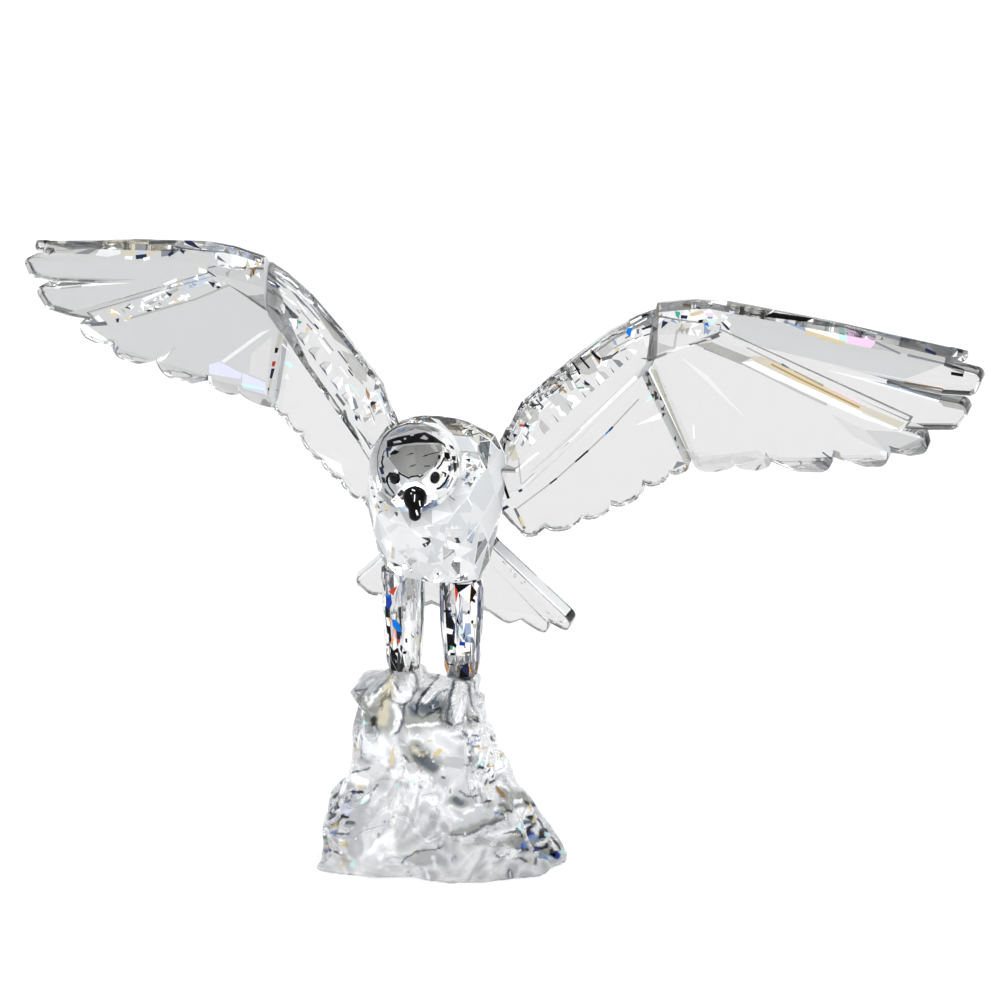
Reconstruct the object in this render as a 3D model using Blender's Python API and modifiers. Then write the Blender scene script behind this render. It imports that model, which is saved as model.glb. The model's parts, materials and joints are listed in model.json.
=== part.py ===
"""Cut crystal eagle that lands on a rock with its wings spread.

The eagle faces -Y and its own left is +X. The origin is the middle of the rock's flat underside, +Z up.
Every wing and tail feather plate is flat crystal with ground edges. The body, head and legs are cut gems.
"""

import math

import bmesh
import bpy
from mathutils import Matrix, Vector, noise

# Driving sizes, in metres
WINGSPAN = 0.308
ROCK_HEIGHT = 0.055
LEG_LENGTH = 0.030
GLUE_GAP = 0.0003
INNER_PLATE_THICK = 0.0045
ARM_BLOCK_THICK = 0.0085
UPPER_PLATE_THICK = 0.0062
LOWER_PLATE_THICK = 0.0048
WRIST_PLATE_THICK = 0.0050
TAIL_PLATE_THICK = 0.0036
ANKLE_LEFT_HEIGHT = 0.0080
ANKLE_RIGHT_HEIGHT = 0.0062
LEG_SPREAD = 0.0097
LEG_RADIUS = 0.0066
ANKLE_RADIUS = 0.0050
TOE_RADIUS = 0.0034
EYE_RADIUS = 0.0016
BEAK_RADIUS = 0.0036
ROCK_RIPPLE = 0.0026
HEAD_TURN = math.radians(28)
HEAD_RADIUS = 0.0134

# The carving keeps its proportions: its numbers below are in units of 1/308 of the wingspan
UNIT = WINGSPAN / 308
ANKLE_LEFT_Z = ROCK_HEIGHT + ANKLE_LEFT_HEIGHT
ANKLE_RIGHT_Z = ROCK_HEIGHT + ANKLE_RIGHT_HEIGHT
LEG_TOP_Z = ANKLE_LEFT_Z + LEG_LENGTH
ARC_STEPS = 4
MERGE = 0.00002

CRYSTAL = (0.90, 0.92, 0.94, 1.0)
BLACK_GLASS = (0.010, 0.010, 0.012, 1.0)


def clear_scene():
    for obj in list(bpy.data.objects):
        bpy.data.objects.remove(obj, do_unlink=True)


def new_collection(name):
    collection = bpy.data.collections.new(name)
    bpy.context.scene.collection.children.link(collection)
    return collection


def glass(name, colour, roughness, transmission):
    material = bpy.data.materials.new(name)
    material.use_nodes = True
    shader = material.node_tree.nodes["Principled BSDF"]
    shader.inputs["Base Color"].default_value = colour
    shader.inputs["Roughness"].default_value = roughness
    shader.inputs["Metallic"].default_value = 0.0
    shader.inputs["IOR"].default_value = 1.55
    shader.inputs["Transmission Weight"].default_value = transmission
    material.diffuse_color = colour
    return material


def units(*values):
    return Vector([value * UNIT for value in values])


def object_from(bm, name, collection):
    """Finishes a mesh: welds it, points its faces out and links it as an object."""
    bmesh.ops.remove_doubles(bm, verts=bm.verts, dist=MERGE)
    bmesh.ops.dissolve_degenerate(bm, edges=bm.edges, dist=MERGE)
    bmesh.ops.recalc_face_normals(bm, faces=bm.faces)
    mesh = bpy.data.meshes.new(name)
    bm.to_mesh(mesh)
    bm.free()
    obj = bpy.data.objects.new(name, mesh)
    collection.objects.link(obj)
    return obj


def mesh_of(obj):
    """The object's evaluated mesh in world space, welded, as a bmesh."""
    evaluated = obj.evaluated_get(bpy.context.evaluated_depsgraph_get())
    mesh = bpy.data.meshes.new_from_object(evaluated)
    bm = bmesh.new()
    bm.from_mesh(mesh)
    bm.transform(obj.matrix_world)
    bpy.data.meshes.remove(mesh)
    bmesh.ops.remove_doubles(bm, verts=bm.verts, dist=MERGE)
    return bm


def cut(bm, point, normal):
    """Grinds off everything beyond the plane and closes the flat it leaves."""
    everything = bm.verts[:] + bm.edges[:] + bm.faces[:]
    result = bmesh.ops.bisect_plane(
        bm, geom=everything, dist=1e-7, plane_co=point, plane_no=normal, clear_outer=True
    )
    rim = [item for item in result["geom_cut"] if isinstance(item, bmesh.types.BMEdge)]
    if rim:
        bmesh.ops.holes_fill(bm, edges=rim, sides=0)


def boolean(obj, cutters, operation, cutter_collection):
    """Joins or cuts with the exact solver and keeps the result as the object's own mesh."""
    for cutter in cutters:
        modifier = obj.modifiers.new(operation.lower(), "BOOLEAN")
        modifier.operation = operation
        modifier.solver = "EXACT"
        modifier.object = cutter
        cutter.hide_render = True
        cutter.display_type = "WIRE"
        for home in list(cutter.users_collection):
            home.objects.unlink(cutter)
        cutter_collection.objects.link(cutter)
    bpy.context.view_layer.update()
    bm = mesh_of(obj)
    bm.transform(obj.matrix_world.inverted())
    obj.modifiers.clear()
    bmesh.ops.dissolve_degenerate(bm, edges=bm.edges, dist=MERGE)
    bm.to_mesh(obj.data)
    bm.free()


def direction(azimuth, elevation):
    """A unit vector: azimuth 0 looks along -Y, towards the viewer, and grows towards +X."""
    a, e = math.radians(azimuth), math.radians(elevation)
    return Vector((math.sin(a) * math.cos(e), -math.cos(a) * math.cos(e), math.sin(e)))


def reach(blobs, normal):
    """How far the hull of the ellipsoids reaches along the normal."""
    return max(
        centre.dot(normal) + math.sqrt(sum((size * part) ** 2 for size, part in zip(sizes, normal)))
        for centre, sizes in blobs
    )


def ring_of_facets(elevation, count, start=0.0, sink=0.0):
    """Facets of one band of a cut gem, as (azimuth, elevation, how much deeper than tangent)."""
    return [(start + 360.0 * index / count, elevation, sink) for index in range(count)]


def faceted_body(flats):
    """The body's hull: staggered rings of corners give it triangular facets. Returns its facet planes."""
    bm = bmesh.new()
    for turn, (height, half, front, back) in enumerate(BODY_RINGS):
        for index in range(BODY_SIDES):
            angle = 2 * math.pi * (index + 0.5 * (turn % 2)) / BODY_SIDES
            depth = (back - front) / 2 * math.cos(angle) + (back + front) / 2
            bm.verts.new(units(half * math.sin(angle), depth, height) + Vector((0, 0, GLUE_GAP)))
    bmesh.ops.convex_hull(bm, input=bm.verts)
    bmesh.ops.recalc_face_normals(bm, faces=bm.faces)
    planes = [(face.normal.copy(), face.normal.dot(face.verts[0].co)) for face in bm.faces]
    bm.free()
    return planes + flats


def solid_of(planes, centre, grow=0.0):
    """The convex solid inside all the planes, each moved out by `grow`."""
    bm = bmesh.new()
    bmesh.ops.create_cube(bm, size=WINGSPAN)
    bmesh.ops.translate(bm, verts=bm.verts, vec=centre)
    for normal, distance in planes:
        cut(bm, normal * (distance + grow), normal)
    return bm


def gem(blobs, facets, flats=()):
    """A convex cut gem: each facet touches the hull of the ellipsoids, and each flat is its own plane."""
    planes = []
    for azimuth, elevation, sink in facets:
        normal = direction(azimuth, elevation)
        planes.append((normal, reach(blobs, normal) - sink))
    return solid_of(planes + list(flats), blobs[0][0])


class Plane:
    """A plate's own plane: `across` and `up` lie in it and `front` faces the viewer."""

    def __init__(self, sweep, tilt, origin):
        s, t = math.radians(sweep), math.radians(tilt)
        self.front = Vector((math.sin(s) * math.cos(t), -math.cos(s) * math.cos(t), -math.sin(t)))
        self.across = Vector((math.cos(s), math.sin(s), 0.0))
        self.up = self.front.cross(self.across)
        if self.up.z < 0:
            self.up.negate()
        self.origin = units(*origin)

    def matrix(self):
        turn = Matrix((self.across, self.up, self.front)).transposed().to_4x4()
        return Matrix.Translation(self.origin) @ turn


def rounded(outline):
    """Turns each corner that has a radius into an arc of a few points."""
    points = []
    count = len(outline)
    for index, (x, y, radius) in enumerate(outline):
        corner = Vector((x, y))
        if radius == 0:
            points.append(corner)
            continue
        before = Vector(outline[index - 1][:2]) - corner
        after = Vector(outline[(index + 1) % count][:2]) - corner
        half = before.angle(after) / 2
        reach_back = min(radius / math.tan(half), 0.48 * before.length, 0.48 * after.length)
        radius = reach_back * math.tan(half)
        middle = corner + (before.normalized() + after.normalized()).normalized() * radius / math.sin(half)
        start = corner + before.normalized() * reach_back - middle
        end = corner + after.normalized() * reach_back - middle
        turn = start.angle_signed(end)
        for step in range(ARC_STEPS + 1):
            angle = -turn * step / ARC_STEPS
            points.append(middle + Matrix.Rotation(angle, 2) @ start)
    return points


def plate(name, outline, thickness, collection):
    """A flat plate from its outline: front face at 0, back face at minus its thickness."""
    curve = bpy.data.curves.new(name, "CURVE")
    curve.dimensions = "2D"
    curve.fill_mode = "BOTH"
    curve.extrude = thickness / 2
    points = rounded(outline)
    spline = curve.splines.new("POLY")
    spline.points.add(len(points) - 1)
    for point, place in zip(spline.points, points):
        point.co = (place.x * UNIT, place.y * UNIT, 0.0, 1.0)
    spline.use_cyclic_u = True
    obj = bpy.data.objects.new(name, curve)
    collection.objects.link(obj)
    bpy.context.view_layer.update()
    bm = mesh_of(obj)
    bpy.data.objects.remove(obj)
    bpy.data.curves.remove(curve)
    bmesh.ops.translate(bm, verts=bm.verts, vec=(0, 0, -thickness / 2))
    bmesh.ops.recalc_face_normals(bm, faces=bm.faces)
    return bm


def slope(bm, start, end, inset, drop, lift=0.0, behind=None):
    """Grinds a long bevel along an edge. The outline runs anticlockwise, so the plate is on its left.

    The bevel starts `inset` in from the edge and is `drop` deep where it meets the edge. With `lift` the
    line sits outside the edge. With `behind`, the plate's thickness, the bevel is on the back.
    """
    along = (Vector(end) - Vector(start)).normalized()
    outward = Vector((along.y, -along.x, 0.0))
    normal = (outward * drop + Vector((0, 0, 1)) * inset).normalized()
    point = units(*start, 0) - outward * (inset - lift) * UNIT
    if behind is not None:
        normal.z = -normal.z
        point.z = -behind
    cut(bm, point, normal)


def chain(points):
    """Each neighbouring pair of a run of points."""
    return list(zip(points, points[1:]))


# Inner wing: the secondaries' plate and the thick arm block over it
INNER_PLANE = Plane(24, 8.5, (24, 10, 12))
INNER_OUTLINE = [
    (-0.2, -0.1, 0.6), (3.9, -1.2, 2.2), (5.9, 1.3, 0), (13.5, -0.4, 2.6), (16.6, 6.7, 0),
    (24.5, 5.3, 2.4), (26.4, 11.1, 0), (32.8, 10.0, 2.4), (34.9, 17.1, 0), (39.8, 15.1, 2.2),
    (42.6, 21.0, 0), (46.9, 19.8, 1.6), (49.0, 22.6, 0), (56.0, 22.6, 0), (42.0, 55.0, 0),
    (34.6, 56.0, 0), (-1.5, 21.0, 0), (-9.0, 21.0, 0), (-9.0, 10.0, 0),
]
ARM_PLANE = Plane(5, -2.5, (24, 7.5, 26.6))
ARM_LEADING = [(46.0, 58.4), (39.6, 56.4), (33.2, 53.6), (24.8, 48.4), (13.6, 39.0), (6.5, 32.2),
               (-0.8, 25.0), (-4.4, 17.3)]
ARM_LOWER = [(0.3, 0.0), (34.4, 35.7)]
ARM_OUTLINE = [(0.3, 0.0, 0), (34.4, 35.7, 0), (46.0, 46.0, 0)] + [(x, y, 0) for x, y in ARM_LEADING]
ARM_OUTLINE += [(-14.0, 14.0, 0), (-14.0, -4.0, 0)]
ARM_NOTCHES = 8
ARM_NOTCH_ROW = [(2.6, 17.6), (31.0, 45.6)]
NOTCH_RADIUS = 2.6 * UNIT
NOTCH_DEPTH = 1.1 * UNIT
NOTCH_LENGTH = 7.5 * UNIT

# Outer wing: the upper primaries' plate in front of the lower primaries' plate, with the wrist plate on top
UPPER_PLANE = Plane(2, 8, (68.5, 12.5, 85))
UPPER_LEADING = [(81.0, -4.6), (58.5, -2.6), (28.1, 1.7), (14.0, 1.9), (5.4, 1.3), (-4.9, -0.7), (-14.0, -3.0)]
UPPER_OUTLINE = [
    (-14.0, -22.0, 0), (-6.5, -17.4, 0), (7.9, -12.6, 0), (62.6, -30.6, 0), (65.3, -29.1, 0),
    (79.6, -27.2, 3.4), (84.2, -19.6, 2.6), (74.9, -18.7, 0), (60.1, -16.0, 0), (74.9, -17.4, 0),
    (84.2, -16.8, 2.6), (86.4, -10.6, 2.2), (75.7, -9.0, 0), (75.7, -8.2, 0), (81.4, -7.6, 1.3),
    (81.6, -4.0, 1.3), (76.0, -4.6, 0), (58.5, -2.6, 0), (28.1, 1.7, 0), (14.0, 1.9, 0),
    (5.4, 1.3, 0), (-4.9, -0.7, 0), (-14.0, -3.0, 0),
]
LOWER_PLANE = Plane(0, 16, (68.5, 28.5, 34))
LOWER_OUTLINE = [
    (-6.0, -3.0, 0), (0.4, -0.9, 0), (11.4, -1.4, 2.6), (14.4, 2.7, 0), (23.4, 1.1, 2.8), (25.4, 5.5, 0),
    (42.3, 3.7, 3.0), (43.8, 10.2, 0), (59.5, 8.5, 3.0), (59.4, 14.0, 0), (70.8, 15.3, 2.6),
    (69.8, 21.0, 2.0), (64.1, 21.9, 0), (66.5, 25.5, 0), (12.0, 46.0, 0), (-15.0, 46.0, 0),
    (-16.0, 30.0, 0),
]
WRIST_PLANE = Plane(3, 3, (60, 12.3, 67))
WRIST_OUTLINE = [(-6.0, -3.2, 0), (1.7, 0.9, 0), (24.2, 12.0, 0), (22.6, 18.2, 0), (13.0, 17.8, 0),
                 (3.4, 15.8, 0), (-6.0, 13.2, 0)]

# The glued joint between the inner and outer wing, seen from the front, as (x, z)
WING_JOINT = [(73.0, 22.0), (69.2, 33.5), (58.3, 63.0), (61.4, 67.8), (63.2, 85.5), (64.6, 99.0)]

# Tail: one half, mirrored at the middle
TAIL_PLANE = Plane(-15.8, 28.8, (0, 17, 4))
TAIL_OUTLINE = [
    (-12.0, 16.0, 0), (-12.0, -30.0, 0), (-1.6, -32.6, 2.4), (3.4, -36.4, 3.0), (11.5, -31.0, 0),
    (18.8, -36.2, 3.2), (24.1, -26.9, 0), (30.2, -29.8, 2.8), (35.2, -22.4, 3.0), (14.8, 2.0, 0),
    (9.0, 16.0, 0),
]

# Grooves between feathers, as (across, up) from the feather edge inward
LOWER_GROOVES = [((14.4, 2.0), (12.0, 15.0)), ((25.4, 5.0), (21.0, 17.0)), ((43.8, 9.6), (33.0, 20.5)),
                 ((59.8, 13.6), (45.0, 24.0))]
UPPER_GROOVES = [((59.0, -15.9), (26.0, -9.6)), ((75.2, -8.6), (50.0, -5.6))]
TAIL_GROOVES = [((11.5, -31.6), (5.5, -7.0)), ((24.1, -27.4), (10.5, -6.5))]
GROOVE_HALF_WIDTH = 0.7 * UNIT
GROOVE_SINK = 0.2 * UNIT
GROOVE_OVERRUN = 1.5 * UNIT

# Body: rings of facet corners, as height above the legs, half width, front and back
BODY_RINGS = [
    (0.0, 15.6, -9.0, 10.0), (5.0, 17.4, -12.0, 15.0), (12.0, 18.8, -14.6, 18.6), (20.0, 20.4, -15.8, 20.4),
    (28.0, 21.2, -14.6, 20.6), (35.5, 20.8, -9.5, 19.6), (41.0, 17.0, -3.0, 16.0), (44.0, 9.5, 2.0, 11.5),
]
BODY_SIDES = 11
SHOULDER_FLAT = (Vector((0.984, 0.0, 0.178)).normalized(), 25.25 * UNIT)
NECK_FLAT = (Vector((0.0, -0.8, 0.6)), 23.4 * UNIT)

# Head: an upright ellipsoid about its own centre, with the big forehead table and its ring of crown facets
HEAD_CENTRE = units(0, -10, 35.3)
HEAD_SIZES = (0.985 * HEAD_RADIUS, 0.97 * HEAD_RADIUS, 1.02 * HEAD_RADIUS)
TABLE_ELEVATION = 26
HEAD_FACETS = (
    [(0, TABLE_ELEVATION, 0.18 * HEAD_RADIUS)]
    + [(azimuth, 51 - abs(azimuth) * 0.12, 0.10 * HEAD_RADIUS) for azimuth in (-66, -22, 22, 66)]
    + [(azimuth, 26 - abs(azimuth) * 0.08, 0.015 * HEAD_RADIUS) for azimuth in (-50, 50)]
    + ring_of_facets(78, 5, 18) + ring_of_facets(50, 9, 100) + ring_of_facets(24, 12, 15)
    + ring_of_facets(-4, 13, 0) + ring_of_facets(-32, 11, 12) + ring_of_facets(-60, 7, 0)
)
EYE_AZIMUTH = 27
EYE_ELEVATION = 2
EYE_SEAT = 0.918 * HEAD_RADIUS
BEAK_ELEVATION = -17
BEAK_SEAT = 0.910 * HEAD_RADIUS
BEAK_PATH = [(9.5, -2.6, 1.0), (13.4, -3.4, 1.0), (15.8, -4.8, 0.92), (17.2, -7.4, 0.66), (17.3, -9.6, 0.42),
             (16.7, -11.6, 0.14)]

# Rock: its outline on the table and at the top, anticlockwise from its left end
ROCK_FOOT = [
    (-33.0, -5.0), (-31.0, -16.0), (-27.0, -22.5), (-19.0, -24.2), (-10.0, -23.4), (1.0, -20.6),
    (14.0, -16.2), (25.0, -11.4), (33.0, -3.5), (37.0, 8.0), (36.0, 18.0), (27.0, 24.0), (12.0, 26.0),
    (-4.0, 26.5), (-20.0, 24.0), (-30.0, 12.0),
]
ROCK_CROWN = [
    (-26.0, -3.0), (-23.6, -9.6), (-18.0, -13.6), (-11.0, -15.0), (-4.0, -15.0), (3.0, -16.6),
    (11.0, -16.6), (18.0, -12.6), (19.6, -6.0), (18.4, 2.0), (15.0, 9.0), (9.0, 13.0), (1.0, 14.6),
    (-9.0, 15.0), (-18.0, 12.0), (-25.0, 5.0),
]
# The rock's flank, as (share of its height, share of the way from the lower outline to the upper one)
ROCK_PROFILE = [(0.0, 0.0), (0.036, 0.0), (0.164, 0.10), (0.327, 0.30), (0.473, 0.52), (0.60, 0.70),
                (0.745, 0.84), (0.873, 0.93), (0.964, 0.99), (1.0, 1.04)]
# Where the claws come down, as (across, back, height above the rock's top)
LEFT_CLAWS = [(3.0, -14.0, -0.4), (14.0, -16.4, -1.6), (21.5, -9.5, -2.0), (10.7, 10.5, 0.0)]
RIGHT_CLAWS = [(-23.4, -8.6, -3.0), (-15.8, -14.6, -3.0), (-4.6, -12.0, 1.6), (-8.7, 10.5, 0.0)]


def inner_wing(collection, cutters):
    """The plate of secondary feathers with the arm block that carries the covert notches."""
    feathers = plate("inner_feathers", INNER_OUTLINE, INNER_PLATE_THICK, collection)
    for start, end in (((0, -1), (24.5, 5.3)), ((24.5, 5.3), (49, 20))):
        slope(feathers, start, end, 9, 1.4, behind=INNER_PLATE_THICK)
    feathers.transform(INNER_PLANE.matrix())
    feather_plate = object_from(feathers, "inner_feathers", collection)

    arm = plate("arm", ARM_OUTLINE, ARM_BLOCK_THICK, collection)
    for start, end in chain(ARM_LEADING):
        slope(arm, start, end, 9.0, 3.2)
        slope(arm, start, end, 2.6, 4.2, lift=0.9)
        slope(arm, start, end, 5.0, 3.6, behind=ARM_BLOCK_THICK)
    slope(arm, *ARM_LOWER, 1.5, 2.2)
    arm.transform(ARM_PLANE.matrix())
    wing = object_from(arm, "arm", collection)
    boolean(wing, [notch_wheels(cutters)], "DIFFERENCE", cutters)
    boolean(wing, [feather_plate], "UNION", cutters)
    return wing


def notch_wheels(collection):
    """A row of small grinding wheels that cut the covert notches across the arm's front bevel."""
    start, end = (Vector(point) for point in ARM_NOTCH_ROW)
    along = (end - start).normalized()
    lie = Matrix.Rotation(math.radians(90), 4, "Y")
    bm = bmesh.new()
    for index in range(ARM_NOTCHES):
        spot = start.lerp(end, index / (ARM_NOTCHES - 1))
        place = units(spot.x, spot.y, 0) + Vector((0, 0, NOTCH_RADIUS - NOTCH_DEPTH))
        turn = Matrix.Rotation(math.atan2(along.x, -along.y), 4, "Z")
        bmesh.ops.create_cone(
            bm, cap_ends=True, segments=8, radius1=NOTCH_RADIUS, radius2=0.6 * NOTCH_RADIUS,
            depth=NOTCH_LENGTH, matrix=Matrix.Translation(place) @ turn @ lie,
        )
    bm.transform(ARM_PLANE.matrix())
    return object_from(bm, "notch_wheels", collection)


def outer_wing(collection, cutters):
    """Upper primaries over lower primaries, with the wrist plate over both."""
    lower = plate("lower_primaries", LOWER_OUTLINE, LOWER_PLATE_THICK, collection)
    slope(lower, (-10.7, 30.0), (0.1, -1.0), 4.4, 2.6)
    for start, end in (((-2, -2), (24, 0.6)), ((24, 0.6), (60, 7.6)), ((60, 7.6), (73, 16))):
        slope(lower, start, end, 7.0, 1.1)
        slope(lower, start, end, 5.0, 1.2, behind=LOWER_PLATE_THICK)
    lower.transform(LOWER_PLANE.matrix())
    lower_plate = object_from(lower, "lower_primaries", collection)
    boolean(lower_plate, [groove_cutters(LOWER_GROOVES, LOWER_PLANE, cutters)], "DIFFERENCE", cutters)

    wrist = plate("wrist", WRIST_OUTLINE, WRIST_PLATE_THICK, collection)
    slope(wrist, (1.7, 0.9), (24.2, 12.0), 1.0, 1.6)
    slope(wrist, (24.2, 12.0), (22.6, 18.2), 2.0, 2.2)
    slope(wrist, (22.6, 18.2), (3.4, 15.8), 6.4, 2.6)
    wrist.transform(WRIST_PLANE.matrix())
    wrist_plate = object_from(wrist, "wrist", collection)

    upper = plate("upper_primaries", UPPER_OUTLINE, UPPER_PLATE_THICK, collection)
    for start, end in chain(UPPER_LEADING):
        slope(upper, start, end, 5.6, 2.2)
        slope(upper, start, end, 1.8, 2.8, lift=0.9)
        slope(upper, start, end, 4.0, 2.6, behind=UPPER_PLATE_THICK)
    slope(upper, (7.9, -12.6), (62.6, -30.6), 6.0, 2.6)
    upper.transform(UPPER_PLANE.matrix())
    wing = object_from(upper, "upper_primaries", collection)
    boolean(wing, [groove_cutters(UPPER_GROOVES, UPPER_PLANE, cutters)], "DIFFERENCE", cutters)
    boolean(wing, [lower_plate, wrist_plate], "UNION", cutters)
    return wing


def groove_cutters(lines, plane, collection):
    """Tapering V-shaped wheels that cut the lines between feathers into a plate's front."""
    bm = bmesh.new()
    for start, end in lines:
        a, b = units(*start, 0), units(*end, 0)
        along = (b - a).normalized()
        a -= along * GROOVE_OVERRUN
        turn = Vector((0, 0, 1)).rotation_difference(along).to_matrix().to_4x4()
        side = turn @ Vector((1, 0, 0, 0))
        level = Matrix.Rotation(math.atan2(side.z, math.hypot(side.x, side.y)), 4, "Z")
        place = Matrix.Translation((a + b) / 2 - Vector((0, 0, GROOVE_SINK)))
        bmesh.ops.create_cone(
            bm, cap_ends=True, segments=4, radius1=GROOVE_HALF_WIDTH, radius2=0.2 * GROOVE_HALF_WIDTH,
            depth=(b - a).length, matrix=place @ turn @ level,
        )
    bm.transform(plane.matrix())
    return object_from(bm, "grooves", collection)


def joint_cutter(side, collection):
    """Everything beyond the wing's glued joint, on one side of it, half a gap past its middle."""
    line = [(x * UNIT - side * GLUE_GAP / 2, z * UNIT) for x, z in WING_JOINT]
    far = WINGSPAN if side > 0 else -0.1 * WINGSPAN
    outline = line + [(far, line[-1][1]), (far, line[0][1])]
    bm = bmesh.new()
    face = bm.faces.new([bm.verts.new((x, -0.2 * WINGSPAN, z)) for x, z in outline])
    walls = bmesh.ops.extrude_face_region(bm, geom=[face])
    moved = [item for item in walls["geom"] if isinstance(item, bmesh.types.BMVert)]
    bmesh.ops.translate(bm, verts=moved, vec=(0, 0.4 * WINGSPAN, 0))
    return object_from(bm, "joint_cutter", collection)


def tail(collection, cutters):
    """The fanned tail: half a plate, mirrored at the middle."""
    bm = plate("tail", TAIL_OUTLINE, TAIL_PLATE_THICK, collection)
    slope(bm, (35.2, -22.4), (14.8, 2.0), 2.4, 1.4)
    slope(bm, (-2, -38), (38, -30), 8.0, 1.0)
    bm.transform(TAIL_PLANE.matrix())
    obj = object_from(bm, "tail", collection)
    boolean(obj, [groove_cutters(TAIL_GROOVES, TAIL_PLANE, cutters)], "DIFFERENCE", cutters)
    mirror = obj.modifiers.new("halves", "MIRROR")
    mirror.use_axis = (True, False, False)
    mirror.use_bisect_axis = (True, False, False)
    mirror.merge_threshold = MERGE
    boolean(obj, [], "UNION", cutters)
    return obj


def leg(name, x, ankle_z, collection):
    """A tapered column cut in bands of triangles, each ring turned half a step from the last."""
    rings = [(0.0, ANKLE_RADIUS), (0.10, ANKLE_RADIUS), (0.34, 0.90 * LEG_RADIUS), (0.56, 0.98 * LEG_RADIUS),
             (0.78, LEG_RADIUS), (1.0, 0.96 * LEG_RADIUS)]
    sides = 8
    height = LEG_TOP_Z - ankle_z
    bm = bmesh.new()
    rows = []
    for turn, (share, radius) in enumerate(rings):
        angles = [2 * math.pi * (index + 0.5 * (turn % 2)) / sides for index in range(sides)]
        rows.append([bm.verts.new((radius * math.cos(a), radius * math.sin(a), share * height)) for a in angles])
    for turn, (low, high) in enumerate(chain(rows)):
        for index in range(sides):
            after = (index + 1) % sides
            if turn % 2 == 0:
                bm.faces.new((low[index], low[after], high[index]))
                bm.faces.new((low[after], high[after], high[index]))
            else:
                bm.faces.new((low[index], high[after], high[index]))
                bm.faces.new((low[index], low[after], high[after]))
    bm.faces.new(list(reversed(rows[0])))
    bm.faces.new(rows[-1])
    obj = object_from(bm, name, collection)
    obj.location = (x, 0.0, ankle_z)
    return obj


def head(collection):
    """The cut head, turned towards its left. It is built about its own centre."""
    turned_neck = Matrix.Rotation(-HEAD_TURN, 3, "Z") @ NECK_FLAT[0]
    back = NECK_FLAT[1] + GLUE_GAP - HEAD_CENTRE.dot(NECK_FLAT[0])
    flats = [(-turned_neck, -back)]
    for azimuth in (-EYE_AZIMUTH, EYE_AZIMUTH):
        flats.append((direction(azimuth, EYE_ELEVATION), EYE_SEAT))
    flats.append((direction(0, BEAK_ELEVATION), BEAK_SEAT))
    bm = gem([(Vector(), HEAD_SIZES)], HEAD_FACETS, flats)
    obj = object_from(bm, "head", collection)
    obj.location = HEAD_CENTRE
    obj.rotation_euler = (0, 0, HEAD_TURN)
    return obj


def eye(name, azimuth, collection):
    """A small domed black stone on its flat of the head."""
    normal = direction(azimuth, EYE_ELEVATION)
    centre = normal * (EYE_SEAT + GLUE_GAP - 0.25 * EYE_RADIUS)
    sizes = (EYE_RADIUS, EYE_RADIUS, 1.15 * EYE_RADIUS)
    facets = ring_of_facets(-55, 6) + ring_of_facets(-20, 8, 22) + ring_of_facets(20, 8) + ring_of_facets(55, 6, 30)
    bm = gem([(centre, sizes)], facets, [(-normal, -EYE_SEAT - GLUE_GAP)])
    return object_from(bm, name, collection)


def beak(collection):
    """The hooked black beak, a tapering tube cut flat where it is glued to the head."""
    curve = bpy.data.curves.new("beak", "CURVE")
    curve.dimensions = "3D"
    curve.bevel_depth = BEAK_RADIUS
    curve.bevel_resolution = 1
    curve.use_fill_caps = True
    spline = curve.splines.new("POLY")
    spline.points.add(len(BEAK_PATH) - 1)
    for point, (forward, up, share) in zip(spline.points, BEAK_PATH):
        point.co = (0.0, -forward * UNIT, up * UNIT, 1.0)
        point.radius = share
    obj = bpy.data.objects.new("beak_tube", curve)
    collection.objects.link(obj)
    bpy.context.view_layer.update()
    bm = mesh_of(obj)
    bpy.data.objects.remove(obj)
    bpy.data.curves.remove(curve)
    normal = direction(0, BEAK_ELEVATION)
    cut(bm, normal * (BEAK_SEAT + GLUE_GAP), -normal)
    return object_from(bm, "beak", collection)


def smooth_ring(points, count):
    """Evenly spaced points of a closed smooth curve through the given ones."""
    size = len(points)
    fine = []
    for index in range(size):
        a, b, c, d = (Vector(points[(index + shift) % size]) for shift in (-1, 0, 1, 2))
        for step in range(8):
            t = step / 8
            fine.append(0.5 * (2 * b + (c - a) * t + (2 * a - 5 * b + 4 * c - d) * t * t
                               + (3 * b - a - 3 * c + d) * t ** 3))
    return [fine[round(index * len(fine) / count) % len(fine)] for index in range(count)]


def rock(collection, cutters):
    """The hewn rock with the eagle's feet cast on its top in one piece."""
    sides = 32
    foot, crown = smooth_ring(ROCK_FOOT, sides), smooth_ring(ROCK_CROWN, sides)
    bm = bmesh.new()
    rows = []
    for height, share in ROCK_PROFILE:
        row = []
        for low, high in zip(foot, crown):
            flat = low.lerp(high, share)
            spot = Vector((flat.x, flat.y, height * 44))
            chisel = noise.noise(spot * 0.075 + Vector((4.1, 0.3, 7.7))) + 0.6 * noise.noise(spot * 0.17)
            flat *= 1 + 2 * (chisel - 0.45) * ROCK_RIPPLE / (flat.length * UNIT)
            row.append(bm.verts.new((flat.x * UNIT, flat.y * UNIT, height * ROCK_HEIGHT)))
        rows.append(row)
    dome = ROCK_HEIGHT + ROCK_RIPPLE
    rows.append([bm.verts.new((0.62 * vert.co.x, 0.62 * vert.co.y, dome)) for vert in rows[-1]])
    for low, high in chain(rows):
        for index in range(sides):
            after = (index + 1) % sides
            bm.faces.new((low[index], low[after], high[after], high[index]))
    bm.faces.new(list(reversed(rows[0])))
    bm.faces.new(rows[-1])
    bmesh.ops.triangulate(bm, faces=[face for face in bm.faces if len(face.verts) == 4], quad_method="SHORT_EDGE")
    obj = object_from(bm, "rock_base", collection)
    boolean(obj, feet(collection), "UNION", cutters)
    boolean(obj, [leg_room(cutters)], "DIFFERENCE", cutters)
    return obj


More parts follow.
